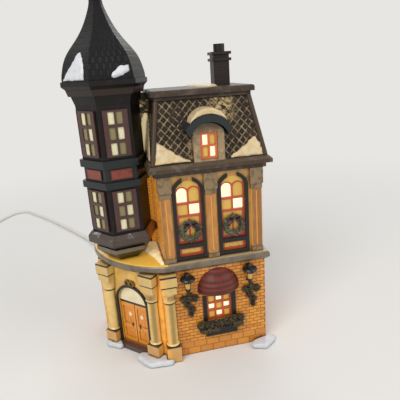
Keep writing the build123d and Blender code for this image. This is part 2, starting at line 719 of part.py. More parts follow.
with BuildPart() as mansard:
    add(roof_block)
    add(box_between(link_low, link_high))
    for side in (0, 1):
        for end in (2, 3):
            with BuildLine() as hip:
                low = (roof_foot[side], roof_foot[end], EAVE_TOP)
                high = (roof_head[side], roof_head[end], MANSARD_TOP)
                Line(low, high)
            with BuildSketch(Plane(origin=hip.line @ 0, z_dir=hip.line % 0)):
                Circle(RIB_RADIUS)
            sweep(path=hip.line)
    with BuildSketch(Plane.XY.offset(EAVE_TOP)):
        Rectangle(PAST_HOUSE, PAST_HOUSE)
    extrude(amount=MANSARD_TOP - EAVE_TOP, mode=Mode.INTERSECT)
    add(roof_hollow, mode=Mode.SUBTRACT)
    with BuildSketch(dormer_face):
        with Locations((DORMER_X, DORMER_SASH_FOOT + DORMER_SASH_HEIGHT / 2)):
            Rectangle(DORMER_SASH_WIDTH, DORMER_SASH_HEIGHT)
    extrude(amount=DORMER_FRONT - roof_head[2] - ROOF_WALL, mode=Mode.SUBTRACT)
    add(tower_block, mode=Mode.SUBTRACT)
    add(band_block, mode=Mode.SUBTRACT)
save(mansard.part, "mansard")

# Cap over the mansard, with its cornice
cap_steps = (
    (MANSARD_TOP, MANSARD_TOP + CAP_BAND, CAP_STEP),
    (MANSARD_TOP + CAP_BAND, CAP_TOP, CAP_OUT),
)
with BuildPart() as roof_cap:
    for foot, top, out in cap_steps:
        with BuildSketch(Plane.XY.offset(foot)):
            with Locations(head_mid):
                Rectangle(head_size[0] + 2 * out, head_size[1] + 2 * out)
        extrude(amount=top - foot)
    fillet(roof_cap.faces().sort_by(Axis.Z)[-1].edges(), radius=CAP_ROUND)
    link_cap_low = (ROOF_LINK_LEFT, ROOF_LINK_FRONT, MANSARD_TOP)
    add(box_between(link_cap_low, (head_mid[0], ROOF_LINK_BACK, MANSARD_TOP + ROOF_LINK_CAP)))
    add(top_block, mode=Mode.SUBTRACT)
save(roof_cap.part, "roof_cap")

# Chimney and its pot
with BuildPart() as chimney_stack:
    with BuildSketch(Plane.XY.offset(CAP_TOP)):
        with Locations((CHIMNEY_X, CHIMNEY_Y)):
            Rectangle(CHIMNEY_WIDTH, CHIMNEY_DEPTH)
    extrude(amount=CHIMNEY_TOP - CAP_TOP)
    for drop in (CHIMNEY_LEDGE_HEIGHT, CHIMNEY_LEDGE_HEIGHT + CHIMNEY_LEDGE_SPACE):
        with BuildSketch(Plane.XY.offset(CHIMNEY_TOP - drop)):
            with Locations((CHIMNEY_X, CHIMNEY_Y)):
                Rectangle(CHIMNEY_WIDTH + 2 * CHIMNEY_LEDGE, CHIMNEY_DEPTH + 2 * CHIMNEY_LEDGE)
        extrude(amount=CHIMNEY_LEDGE_HEIGHT)
save(chimney_stack.part, "chimney_stack")

with BuildPart() as chimney_pot:
    with BuildSketch(Plane.XY.offset(CHIMNEY_TOP)):
        with Locations((CHIMNEY_X, CHIMNEY_Y)):
            Circle(POT_RADIUS)
            Circle(POT_BORE, mode=Mode.SUBTRACT)
    extrude(amount=POT_HEIGHT)
    fillet(chimney_pot.edges().sort_by(Axis.Z)[-1], radius=POT_ROUND)
save(chimney_pot.part, "chimney_pot")

# Dormer: body, hood, snow on the hood, and a sash with two open and two blind panes
hood_face = wall_plane(0, HOOD_FRONT, -90)
hood_depth = roof_head[2] - HOOD_FRONT
hood_radius = (HOOD_WIDTH**2 / 4 + HOOD_RISE**2) / (2 * HOOD_RISE)
hood_middle = (DORMER_X, HOOD_FOOT + HOOD_RISE - hood_radius)
hood_end = (DORMER_X + HOOD_WIDTH / 2, HOOD_FOOT)
hood_start = (DORMER_X - HOOD_WIDTH / 2, HOOD_FOOT)
under_end = (hood_end[0] - HOOD_TUCK, HOOD_FOOT - HOOD_THICK)
under_start = (hood_start[0] + HOOD_TUCK, HOOD_FOOT - HOOD_THICK)
with BuildPart() as hood_shape:
    with BuildSketch(hood_face):
        with BuildLine():
            ThreePointArc(hood_start, (DORMER_X, HOOD_FOOT + HOOD_RISE), hood_end)
            Line(hood_end, under_end)
            ThreePointArc(under_end, (DORMER_X, HOOD_FOOT + HOOD_RISE - HOOD_THICK), under_start)
            Line(under_start, hood_start)
        make_face()
    extrude(amount=-hood_depth)
with BuildPart() as dormer_body:
    with BuildSketch(dormer_face):
        with Locations((DORMER_X, 0)):
            add(arch(DORMER_WIDTH, EAVE_TOP, DORMER_SPRING, DORMER_RISE))
        with Locations((DORMER_X, DORMER_SASH_FOOT + DORMER_SASH_HEIGHT / 2)):
            Rectangle(DORMER_SASH_WIDTH, DORMER_SASH_HEIGHT, mode=Mode.SUBTRACT)
    extrude(amount=DORMER_FRONT - roof_head[2])
    add(roof_block, mode=Mode.SUBTRACT)
    add(hood_shape.part, mode=Mode.SUBTRACT)
save(dormer_body.part, "dormer_body")

with BuildPart() as dormer_hood:
    add(hood_shape.part)
    add(roof_block, mode=Mode.SUBTRACT)
save(dormer_hood.part, "dormer_hood")

snow_half = HOOD_SNOW_WIDTH / 2
with BuildPart() as dormer_snow:
    with BuildSketch(hood_face.offset(-HOOD_SNOW_BACK)):
        with BuildLine():
            crest = (DORMER_X, HOOD_FOOT + HOOD_RISE + HOOD_SNOW)
            ThreePointArc((DORMER_X - snow_half, HOOD_FOOT), crest, (DORMER_X + snow_half, HOOD_FOOT))
            Line((DORMER_X + snow_half, HOOD_FOOT), (DORMER_X - snow_half, HOOD_FOOT))
        make_face()
        with Locations(hood_middle):
            Circle(hood_radius, mode=Mode.SUBTRACT)
    extrude(amount=-hood_depth)
    add(roof_block, mode=Mode.SUBTRACT)
save(dormer_snow.part, "dormer_snow")

dormer_sash_face = dormer_face.offset(-DORMER_SASH_BACK)
dormer_mid = (DORMER_X, DORMER_SASH_FOOT + DORMER_SASH_HEIGHT / 2)
pane_across = (DORMER_PANE[0] + DORMER_SASH_BAR) / 2
pane_up = (DORMER_PANE[1] + DORMER_SASH_BAR) / 2
with BuildPart() as dormer_sash:
    with BuildSketch(dormer_sash_face):
        with Locations(dormer_mid):
            Rectangle(DORMER_SASH_WIDTH - 2 * FIT, DORMER_SASH_HEIGHT - 2 * FIT)
    extrude(amount=-SHOP_SASH_THICK)
    for side, depth in ((-1, SHOP_SASH_THICK), (1, TOWER_PANE_DEPTH)):
        high = (dormer_mid[0] + side * pane_across, dormer_mid[1] + pane_up)
        low = (dormer_mid[0] - side * pane_across, dormer_mid[1] - pane_up)
        with BuildSketch(dormer_sash_face):
            with Locations(high, low):
                Rectangle(*DORMER_PANE)
        extrude(amount=-depth, mode=Mode.SUBTRACT)
save(dormer_sash.part, "dormer_sash")

# Tower, from the corbel up
with BuildPart() as tower_corbel:
    add(hex_taper(CORBEL_FOOT_SIDE, CORBEL_SIDE, LEDGE_TOP, CORBEL_TOP))
    add(prism(hexagon(CORBEL_SIDE), CORBEL_TOP, CORBEL_RING_TOP))
save(tower_corbel.part, "tower_corbel")

with BuildPart() as tower_sill:
    add(hex_taper(SILL_NECK_SIDE, SILL_SIDE, CORBEL_RING_TOP, SILL_NECK_TOP))
    add(prism(hexagon(SILL_SIDE), SILL_NECK_TOP, SILL_SLOPE_FOOT))
    add(hex_taper(SILL_SIDE, TOWER_SIDE + TOWER_SASH_THICK, SILL_SLOPE_FOOT, SILL_TOP))
    add(box_between((UPPER_LEFT, -PAST_HOUSE, 0), (PAST_HOUSE, PAST_HOUSE, PAST_HOUSE)), mode=Mode.SUBTRACT)
save(tower_sill.part, "tower_sill")

hex_apothem = TOWER_SIDE * cos(radians(30))
tower_inner = TOWER_SIDE - TOWER_WALL / cos(radians(30))
for name, foot, top, under, over in TOWER_STOREYS:
    with BuildPart() as storey:
        with BuildSketch(Plane.XY.offset(foot)):
            add(hexagon(TOWER_SIDE))
            add(hexagon(tower_inner), mode=Mode.SUBTRACT)
        extrude(amount=top - foot)
        if name == "lower":
            wall_low = (TOWER_X + hex_apothem - LINK_TUCK, LINK_Y, LEDGE_TOP)
            add(box_between(wall_low, (UPPER_LEFT, LINK_Y + LINK_WIDTH, top)))
            add(prism(hexagon(SILL_SIDE + FIT), LEDGE_TOP, SILL_TOP), mode=Mode.SUBTRACT)
            add(prism(hexagon(tower_inner), foot, top), mode=Mode.SUBTRACT)
    save(storey.part, f"tower_{name}_storey")


def tower_face(heading):
    """Plane on the face of the tower that looks in the given direction."""
    x = TOWER_X + hex_apothem * cos(radians(heading))
    y = TOWER_Y + hex_apothem * sin(radians(heading))
    return wall_plane(x, y, heading)


with BuildPart() as tower_band:
    with BuildSketch(Plane.XY.offset(BAND_FOOT)):
        add(hexagon(BAND_SIDE))
    extrude(amount=BAND_TOP - BAND_FOOT)
    with BuildSketch(Plane.XY.offset(BAND_MOULD_LOW)):
        add(hexagon(2 * BAND_SIDE))
        add(hexagon(TOWER_SIDE), mode=Mode.SUBTRACT)
    extrude(amount=BAND_MOULD_HIGH - BAND_MOULD_LOW, mode=Mode.SUBTRACT)
    with BuildSketch(Plane.XY.offset(BAND_FOOT)):
        add(hexagon(tower_inner))
    extrude(amount=BAND_TOP - BAND_FOOT, mode=Mode.SUBTRACT)
    for heading in TOWER_SASH_FACES:
        with BuildSketch(tower_face(heading)):
            with Locations((0, (BAND_MOULD_LOW + BAND_MOULD_HIGH) / 2)):
                Rectangle(*PANEL_SIZE)
        extrude(amount=PANEL_PROUD)
save(tower_band.part, "tower_band")

for name, foot, top, under, over in TOWER_STOREYS:
    height = top - over - foot - under
    middle = foot + under + height / 2
    pane = (height - 2 * TOWER_SASH_EDGE - (TOWER_PANE_ROWS - 1) * TOWER_BAR) / TOWER_PANE_ROWS
    with BuildPart() as sashes:
        for heading in TOWER_SASH_FACES:
            with BuildSketch(tower_face(heading)):
                with Locations((0, middle)):
                    Rectangle(TOWER_SASH_WIDTH, height)
            extrude(amount=TOWER_SASH_THICK)
            with BuildSketch(tower_face(heading).offset(TOWER_SASH_THICK)):
                with Locations((0, middle)):
                    with GridLocations(TOWER_PANE_PITCH, pane + TOWER_BAR, 2, TOWER_PANE_ROWS):
                        Rectangle(TOWER_PANE_WIDTH, pane)
            extrude(amount=-TOWER_PANE_DEPTH, mode=Mode.SUBTRACT)
    save(sashes.part, f"tower_{name}_sashes")

with BuildPart() as tower_cornice:
    add(hex_taper(TOWER_SIDE, FRIEZE_SIDE, TOWER_TOP, FRIEZE_TOP))
    add(hex_taper(CORNICE_STEP - CORNICE_FLARE, CORNICE_STEP, FRIEZE_TOP, CORNICE_STEP_TOP))
    add(hex_taper(CORNICE_STEP, CORNICE_SIDE, CORNICE_STEP_TOP, CORNICE_SLOPE_TOP))
    add(prism(hexagon(CORNICE_SIDE), CORNICE_SLOPE_TOP, CORNICE_TOP))
save(tower_cornice.part, "tower_cornice")

with BuildPart() as dome:
    for rise, side in DOME_SECTIONS:
        with BuildSketch(Plane.XY.offset(CORNICE_TOP + rise)):
            add(hexagon(side))
    loft()
save(dome.part, "dome")

dome_top = CORNICE_TOP + DOME_SECTIONS[-1][0]
ball_z = dome_top + COLLAR_HEIGHT + BALL_RADIUS - BALL_SINK
spike_z = ball_z + BALL_RADIUS - SPIKE_SINK + SPIKE_HEIGHT / 2
with BuildPart() as dome_finial:
    with BuildSketch(Plane.XY.offset(dome_top)):
        with Locations((TOWER_X, TOWER_Y)):
            Circle(COLLAR_RADIUS)
    extrude(amount=COLLAR_HEIGHT)
    fillet(dome_finial.edges().sort_by(Axis.Z)[-1], radius=COLLAR_ROUND)
    with Locations((TOWER_X, TOWER_Y, ball_z)):
        Sphere(BALL_RADIUS)
    with Locations((TOWER_X, TOWER_Y, spike_z)):
        Cone(SPIKE_RADIUS, SPIKE_TIP, SPIKE_HEIGHT)
save(dome_finial.part, "dome_finial")

# Pilasters with a flute, a capital and a base
with BuildPart() as pilasters:
    with BuildSketch(upper_wall):
        with Locations(*[(x, (LEDGE_TOP + EAVE_FOOT) / 2) for x in PILASTER_X]):
            Rectangle(PILASTER_WIDTH, EAVE_FOOT - LEDGE_TOP)
    extrude(amount=PILASTER_PROUD)
    for grow, foot, top in (
        (CAPITAL_GROW, CAPITAL_FOOT + CAPITAL_STEP, EAVE_FOOT),
        (CAPITAL_GROW / 2, CAPITAL_FOOT, CAPITAL_FOOT + CAPITAL_STEP),
        (CAPITAL_GROW / 2, LEDGE_TOP, LEDGE_TOP + BASE_HEIGHT),
    ):
        with BuildSketch(upper_wall):
            with Locations(*[(x, (foot + top) / 2) for x in PILASTER_X]):
                Rectangle(PILASTER_WIDTH + 2 * grow, top - foot)
        extrude(amount=PILASTER_PROUD + grow)
    flute_foot = LEDGE_TOP + BASE_HEIGHT + FLUTE_MARGIN
    flute_top = CAPITAL_FOOT - FLUTE_MARGIN
    with BuildSketch(upper_wall.offset(PILASTER_PROUD)):
        with Locations(*[(x, (flute_foot + flute_top) / 2) for x in PILASTER_X]):
            Rectangle(PILASTER_FLUTE, flute_top - flute_foot)
    extrude(amount=-FLUTE_DEPTH, mode=Mode.SUBTRACT)
save(pilasters.part, "pilasters")

# Arched windows: frame with a gap at its crown, sash, wreath and bow
arch_outer = arch(ARCH_FRAME_WIDTH, ARCH_FOOT, ARCH_SPRING, ARCH_RISE)
with BuildPart() as arch_frames:
    with BuildSketch(upper_wall):
        for x in ARCH_X:
            with Locations((x, 0)):
                add(arch_outer)
                add(arch_hole, mode=Mode.SUBTRACT)
            with Locations((x, ARCH_SPRING + ARCH_RISE)):
                Rectangle(ARCH_KEY_GAP, 2 * ARCH_RISE, mode=Mode.SUBTRACT)
            with Locations((x, ARCH_BAR_FOOT + ARCH_BAR_THICK / 2)):
                Rectangle(ARCH_FRAME_WIDTH - ARCH_FRAME_BAND, ARCH_BAR_THICK)
    extrude(amount=ARCH_FRAME_PROUD)
save(arch_frames.part, "arch_frames")

sash_width = arch_inner - 2 * FIT
sash_foot = ARCH_FOOT + ARCH_FRAME_BAND
sash_face = upper_wall.offset(-ARCH_SASH_BACK)
sash_shape = arch(sash_width, sash_foot + FIT, ARCH_SPRING, ARCH_RISE - ARCH_FRAME_BAND - FIT)
round_pane = arch(ARCH_PANE_WIDTH, ARCH_HIGH_FOOT, ARCH_PANE_SPRING, ARCH_PANE_WIDTH / 2)
pane_mid = (ARCH_LOW_FOOT + ARCH_LOW_TOP) / 2
panel_width = sash_width - 2 * ARCH_PANEL_INSET
panel_spans = ((ARCH_BAR_TOP, ARCH_LOW_FOOT), (sash_foot, ARCH_BAR_FOOT))
with BuildPart() as arch_sashes:
    with BuildSketch(sash_face):
        with Locations(*[(x, 0) for x in ARCH_X]):
            add(sash_shape)
    extrude(amount=-ARCH_SASH_THICK)
    with BuildSketch(sash_face):
        with Locations(*[(x - ARCH_PANE_X, 0) for x in ARCH_X]):
            add(round_pane)
        with Locations(*[(x + ARCH_PANE_X, pane_mid) for x in ARCH_X]):
            Rectangle(ARCH_PANE_WIDTH, ARCH_LOW_PANE)
    extrude(amount=-ARCH_SASH_THICK, mode=Mode.SUBTRACT)
    with BuildSketch(sash_face):
        with Locations(*[(x + ARCH_PANE_X, 0) for x in ARCH_X]):
            add(round_pane)
        with Locations(*[(x - ARCH_PANE_X, pane_mid) for x in ARCH_X]):
            Rectangle(ARCH_PANE_WIDTH, ARCH_LOW_PANE)
        for foot, top in panel_spans:
            with Locations(*[(x, (foot + top) / 2) for x in ARCH_X]):
                Rectangle(panel_width, top - foot - 2 * ARCH_PANEL_INSET)
    extrude(amount=-TOWER_PANE_DEPTH, mode=Mode.SUBTRACT)
save(arch_sashes.part, "arch_sashes")

panel_face = sash_face.offset(-TOWER_PANE_DEPTH)
with BuildPart() as wreaths:
    for x in ARCH_X:
        with Locations(panel_face.offset(WREATH_THICK / 3) * Location((x, WREATH_Z, 0))):
            Torus(WREATH_RADIUS, WREATH_THICK)
    split(bisect_by=sash_face, keep=Keep.TOP)
save(wreaths.part, "wreaths")

bow_face = panel_face.offset(WREATH_THICK / 3 + WREATH_THICK)
bow_shape = outline(
    (0, BOW_WAIST / 2),
    (BOW_WIDTH / 2, BOW_HEIGHT / 2),
    (BOW_WIDTH / 2, -BOW_HEIGHT / 2),
    (0, -BOW_WAIST / 2),
    (-BOW_WIDTH / 2, -BOW_HEIGHT / 2),
    (-BOW_WIDTH / 2, BOW_HEIGHT / 2),
)
with BuildPart() as wreath_bows:
    with BuildSketch(bow_face):
        for x in ARCH_X:
            with Locations((x, WREATH_Z + BOW_RISE)):
                add(bow_shape)
                Circle(BOW_KNOT)
    extrude(amount=BOW_THICK)
save(wreath_bows.part, "wreath_bows")

# Columns: plinth, base ring, shaft, neck ring, bell and block, let into the wall behind them
column_profile = (
    (0, COLUMN_PLINTH[1]),
    (COLUMN_RADIUS + COLUMN_RING, COLUMN_PLINTH[1]),
    (COLUMN_RADIUS + COLUMN_RING, COLUMN_PLINTH[1] + COLUMN_TORUS),
    (COLUMN_RADIUS, COLUMN_BASE_TOP),
    (COLUMN_RADIUS - COLUMN_TAPER, COLUMN_SHAFT_TOP),
    (COLUMN_RADIUS + COLUMN_NECK_RING[0], COLUMN_SHAFT_TOP + COLUMN_NECK_RING[1]),
    (COLUMN_RADIUS + COLUMN_NECK_HOLLOW[0], COLUMN_SHAFT_TOP + COLUMN_NECK_HOLLOW[1]),
    (COLUMN_RADIUS + COLUMN_BELL_GROW, COLUMN_BELL_TOP),
    (0, COLUMN_BELL_TOP),
)
column_spots = (
    (entrance * Location((-COLUMN_ALONG, 0, COLUMN_OUT)), ENTRANCE_HEADING),
    (entrance * Location((COLUMN_ALONG, 0, COLUMN_OUT)), ENTRANCE_HEADING),
    (shop_wall * Location((COLUMN_FRONT_X, 0, COLUMN_OUT)), -90),
)
column_head = COLUMN_BLOCK + COLUMN_HEAD_GROW
with BuildPart() as columns:
    for spot, heading in column_spots:
        with Locations(Location(spot.position, (0, 0, heading))):
            with Locations((0, 0, COLUMN_PLINTH[1] / 2)):
                Box(COLUMN_PLINTH[0], COLUMN_PLINTH[0], COLUMN_PLINTH[1])
            with Locations((0, 0, COLUMN_BELL_TOP + COLUMN_BLOCK_HEIGHT / 2)):
                Box(COLUMN_BLOCK, COLUMN_BLOCK, COLUMN_BLOCK_HEIGHT)
            with Locations((0, 0, COLUMN_BLOCK_TOP + COLUMN_HEAD_HEIGHT / 2)):
                Box(column_head, column_head, COLUMN_HEAD_HEIGHT)
        with BuildSketch(Plane(origin=spot.position, x_dir=(1, 0, 0), z_dir=(0, -1, 0))):
            add(outline(*column_profile))
        revolve(axis=Axis(spot.position, (0, 0, 1)))
    add(ground_block, mode=Mode.SUBTRACT)
save(columns.part, "columns")

# Entrance: black arch with a scroll over it, double door, fanlight board and step
with BuildPart() as entrance_arch:
    with BuildSketch(entrance):
        add(arch(DOOR_WIDTH + 2 * ENTRANCE_BAND, DOOR_FOOT, DOOR_SPRING, DOOR_RISE + ENTRANCE_BAND))
        add(arch(DOOR_WIDTH, DOOR_FOOT, DOOR_SPRING, DOOR_RISE), mode=Mode.SUBTRACT)
        with Locations((-SCROLL_X, SCROLL_Z), (SCROLL_X, SCROLL_Z)):
            Circle(SCROLL_RADIUS)
        with Locations((-SCROLL_X, SCROLL_Z), (SCROLL_X, SCROLL_Z)):
            Circle(SCROLL_RADIUS - SCROLL_THICK, mode=Mode.SUBTRACT)
    extrude(amount=ENTRANCE_PROUD)
save(entrance_arch.part, "entrance_arch")

door_face = entrance.offset(-DOOR_BACK)
leaf = (DOOR_WIDTH - 2 * FIT) / 2
low_panel_z = DOOR_FOOT + DOOR_RAIL + DOOR_LOW_PANEL / 2
high_panel_z = DOOR_SPRING - DOOR_RAIL - DOOR_HIGH_PANEL / 2
with BuildPart() as entrance_door:
    with BuildSketch(door_face):
        with Locations((0, (DOOR_FOOT + DOOR_SPRING) / 2)):
            Rectangle(DOOR_WIDTH - 2 * FIT, DOOR_SPRING - DOOR_FOOT - 2 * FIT)
    extrude(amount=-DOOR_THICK)
    with BuildSketch(door_face):
        with Locations((0, (DOOR_FOOT + DOOR_SPRING) / 2)):
            Rectangle(DOOR_SEAM, DOOR_SPRING - DOOR_FOOT)
        with Locations((-leaf / 2, low_panel_z), (leaf / 2, low_panel_z)):
            Rectangle(leaf - 2 * DOOR_STILE, DOOR_LOW_PANEL)
        with Locations((-leaf / 2, high_panel_z), (leaf / 2, high_panel_z)):
            Rectangle(leaf - 2 * DOOR_STILE, DOOR_HIGH_PANEL)
    extrude(amount=-DOOR_PANEL_DEPTH, mode=Mode.SUBTRACT)
save(entrance_door.part, "entrance_door")

with BuildPart() as entrance_fanlight:
    with BuildSketch(door_face):
        add(arch(DOOR_WIDTH - 2 * FIT, DOOR_SPRING, DOOR_SPRING + FIT, DOOR_RISE - 2 * FIT))
    extrude(amount=-DOOR_THICK)
save(entrance_fanlight.part, "entrance_fanlight")

with BuildPart() as door_step:
    with BuildSketch(entrance):
        with Locations((0, DOOR_FOOT / 2)):
            Rectangle(STEP_WIDTH, DOOR_FOOT)
    extrude(amount=STEP_OUT)
    add(columns.part, mode=Mode.SUBTRACT)
save(door_step.part, "door_step")

# Shop window: sash with open and blind panes, shutters, awning, flower box
shop_face = shop_wall.offset(-SHOP_SASH_BACK)
shop_mid = (SHOP_X, (SHOP_FOOT + SHOP_TOP) / 2)
open_panes = ((0, 1), (-1, 0), (1, 0), (0, -1))
blind_panes = ((-1, 1), (1, 1), (0, 0), (-1, -1), (1, -1))
with BuildPart() as shop_sash:
    with BuildSketch(shop_face):
        with Locations(shop_mid):
            Rectangle(SHOP_WIDTH - 2 * FIT, SHOP_TOP - SHOP_FOOT - 2 * FIT)
    extrude(amount=-SHOP_SASH_THICK)
    for panes, depth in ((open_panes, SHOP_SASH_THICK), (blind_panes, TOWER_PANE_DEPTH)):
        across, up = SHOP_PANE_PITCH
        spots = [(shop_mid[0] + i * across, shop_mid[1] + k * up) for i, k in panes]
        with BuildSketch(shop_face):
            with Locations(*spots):
                Rectangle(*SHOP_PANE)
        extrude(amount=-depth, mode=Mode.SUBTRACT)
save(shop_sash.part, "shop_sash")

shutter_x = (SHOP_WIDTH + SHUTTER_WIDTH) / 2 + FIT
with BuildPart() as shutters:
    with BuildSketch(shop_wall):
        with Locations((SHOP_X - shutter_x, shop_mid[1]), (SHOP_X + shutter_x, shop_mid[1])):
            Rectangle(SHUTTER_WIDTH, SHOP_TOP - SHOP_FOOT)
    extrude(amount=SHUTTER_THICK)
save(shutters.part, "shutters")

awning_radius = (AWNING_HALF**2 + AWNING_OUT**2) / (2 * AWNING_OUT)
awning_axis = Axis((SHOP_X, GROUND_FRONT + awning_radius - AWNING_OUT, 0), (0, 0, 1))
with BuildPart() as awning:
    with BuildSketch(Plane(origin=awning_axis.position, x_dir=(1, 0, 0), z_dir=(0, -1, 0))):
        with BuildLine():
            edge = (awning_radius, AWNING_FOOT)
            crown = (awning_radius - AWNING_OUT, AWNING_TOP)
            belly_radius = awning_radius - AWNING_OUT * AWNING_BELLY[0]
            belly = (belly_radius, AWNING_FOOT + AWNING_HEIGHT * AWNING_BELLY[1])
            ThreePointArc(edge, belly, crown)
            Polyline(crown, (0, AWNING_TOP), (0, AWNING_FOOT), edge)
        make_face()
    revolve(axis=awning_axis)
    split(bisect_by=shop_wall, keep=Keep.TOP)
save(awning.part, "awning")

with BuildPart() as flower_box:
    with BuildSketch(shop_wall):
        with Locations((SHOP_X, (BOX_FOOT + BOX_TOP) / 2)):
            Rectangle(BOX_WIDTH, BOX_TOP - BOX_FOOT)
    extrude(amount=BOX_OUT)
    chamfer(flower_box.edges().filter_by(Axis.X).group_by(Axis.Z)[0].sort_by(Axis.Y)[0], length=BOX_CHAMFER)
save(flower_box.part, "flower_box")

box_room = box_between(
    (SHOP_X - BOX_WIDTH / 2 - FIT, GROUND_FRONT - BOX_OUT - FIT, BOX_FOOT - FIT),
    (SHOP_X + BOX_WIDTH / 2 + FIT, GROUND_FRONT, BOX_TOP + FIT),
)
with BuildPart() as flower_box_greenery:
    for less, out in GREENERY_LAYERS:
        with BuildSketch(shop_wall):
            for i in range(GREENERY_COUNT):
                share = i / (GREENERY_COUNT - 1) * 2 - 1
                x = SHOP_X + share * (GREENERY_SPAN / 2 - GREENERY_RADIUS)
                z = BOX_TOP + GREENERY_RISE + GREENERY_LIFT[share > 0] * share**2
                with Locations((x, z)):
                    Circle(GREENERY_RADIUS + GREENERY_BUMP * (-1) ** i - less)
        extrude(amount=out)
    add(box_room, mode=Mode.SUBTRACT)
    add(shutters.part, mode=Mode.SUBTRACT)
save(flower_box_greenery.part, "flower_box_greenery")

# Wall lanterns, their glass, and the greenery that hangs under them
lantern_axes = [Axis((x, GROUND_FRONT - LANTERN_OUT, 0), (0, 0, 1)) for x in LANTERN_X]
lantern_cap = outline(
    (0, LANTERN_GLASS_TOP),
    (LANTERN_CAP_FOOT, LANTERN_GLASS_TOP),
    (LANTERN_CAP_RADIUS, LANTERN_GLASS_TOP + LANTERN_CAP_EDGE),
    (LANTERN_SHOULDER[0], LANTERN_GLASS_TOP + LANTERN_SHOULDER[1]),
    (LANTERN_NECK_RADIUS, LANTERN_CAP_TOP),
    (LANTERN_KNOB_RADIUS, LANTERN_CAP_TOP + LANTERN_KNOB_HEIGHT),
    (0, LANTERN_CAP_TOP + LANTERN_KNOB_HEIGHT),
)
lantern_cup = outline(
    (0, LANTERN_FOOT - LANTERN_TIP),
    (LANTERN_CUP_RADII[0], LANTERN_FOOT),
    (LANTERN_CUP_RADII[1], LANTERN_GLASS_FOOT),
    (0, LANTERN_GLASS_FOOT),
)
lantern_pane = outline(
    (0, LANTERN_GLASS_FOOT),
    (LANTERN_GLASS_RADII[0], LANTERN_GLASS_FOOT),
    (LANTERN_GLASS_RADII[1], LANTERN_GLASS_TOP),
    (0, LANTERN_GLASS_TOP),
)
with BuildPart() as wall_lanterns:
    with BuildSketch(shop_wall):
        with Locations(*[(x, (LANTERN_FOOT + LANTERN_CAP_TOP) / 2) for x in LANTERN_X]):
            Rectangle(LANTERN_PLATE_WIDTH, LANTERN_CAP_TOP - LANTERN_FOOT)
    extrude(amount=LANTERN_PLATE)
    for axis in lantern_axes:
        with BuildSketch(Plane(origin=axis.position, x_dir=(1, 0, 0), z_dir=(0, -1, 0))):
            add(lantern_cap)
            add(lantern_cup)
        revolve(axis=axis)
    with BuildSketch(shop_wall):
        with Locations(*[(x, LANTERN_GLASS_FOOT - LANTERN_ARM[1] / 2) for x in LANTERN_X]):
            Rectangle(*LANTERN_ARM)
    extrude(amount=LANTERN_OUT)
    split(bisect_by=shop_wall, keep=Keep.TOP)
save(wall_lanterns.part, "wall_lanterns")

with BuildPart() as lantern_glass:
    for axis in lantern_axes:
        with BuildSketch(Plane(origin=axis.position, x_dir=(1, 0, 0), z_dir=(0, -1, 0))):
            add(lantern_pane)
        revolve(axis=axis)
save(lantern_glass.part, "lantern_glass")

with BuildPart() as hanging_greenery:
    for x in HANGING_X:
        for across, drop, radius in HANGING_BALLS:
            with Locations((x + across, GROUND_FRONT - HANGING_OUT, HANGING_TOP - drop)):
                Sphere(radius)
    split(bisect_by=shop_wall, keep=Keep.TOP)
save(hanging_greenery.part, "hanging_greenery")

# Snow drifts
with BuildPart() as snow_drifts:
    for spots in SNOW_SPOTS:
        with BuildSketch():
            for x, y, radius in spots:
                with Locations((x, y)):
                    Circle(radius)
            make_hull()
        extrude(amount=SNOW_HEIGHT)
    fillet(snow_drifts.faces().filter_by(Axis.Z).group_by(Axis.Z)[-1].edges(), radius=SNOW_ROUND)
    add(ground_block, mode=Mode.SUBTRACT)
    add(columns.part, mode=Mode.SUBTRACT)
    add(door_step.part, mode=Mode.SUBTRACT)
save(snow_drifts.part, "snow_drifts")

# Clip-in lamp: everything is turned about one axis that runs out of the back wall
lamp_axis = Axis((0, 0, LAMP_Z), (0, 1, 0))
lamp_plan = Plane(origin=(0, 0, LAMP_Z), x_dir=(1, 0, 0), z_dir=(0, 0, 1))


def turned(*points):
    """Solid of revolution about the lamp's axis from (radius, y) points."""
    with BuildPart() as solid:
        with BuildSketch(lamp_plan):
            add(outline(*points))
        revolve(axis=lamp_axis)
    return solid.part


def ring(inner, outer, start, end):
    """Profile of a ring or a disc for turned()."""
    return ((inner, start), (outer, start), (outer, end), (inner, end))


flange_front = GROUND_BACK + GAP
shell_inner = BULB_THREAD + GAP
shell_outer = shell_inner + SHELL_THICK
flange_back = flange_front + FLANGE_THICK
save(turned(*ring(SOCKET_RADIUS + FIT, FLANGE_RADIUS, flange_front, flange_back)), "lamp_flange")

lamp_socket = turned(
    (shell_outer + FIT, SOCKET_MOUTH),
    (SOCKET_RADIUS, SOCKET_MOUTH),
    (SOCKET_RADIUS, SOCKET_REAR),
    (0, SOCKET_REAR),
    (0, SOCKET_FLOOR),
    (shell_outer + FIT, SOCKET_FLOOR),
)
save(lamp_socket, "lamp_socket")

shell_mouth = SOCKET_MOUTH + SHELL_MARGIN[0]
save(turned(*ring(shell_inner, shell_outer, shell_mouth, SOCKET_FLOOR - SHELL_MARGIN[1])), "socket_shell")
save(turned(*ring(0, CONTACT_RADIUS, SOCKET_FLOOR - CONTACT_THICK, SOCKET_FLOOR)), "socket_contact")

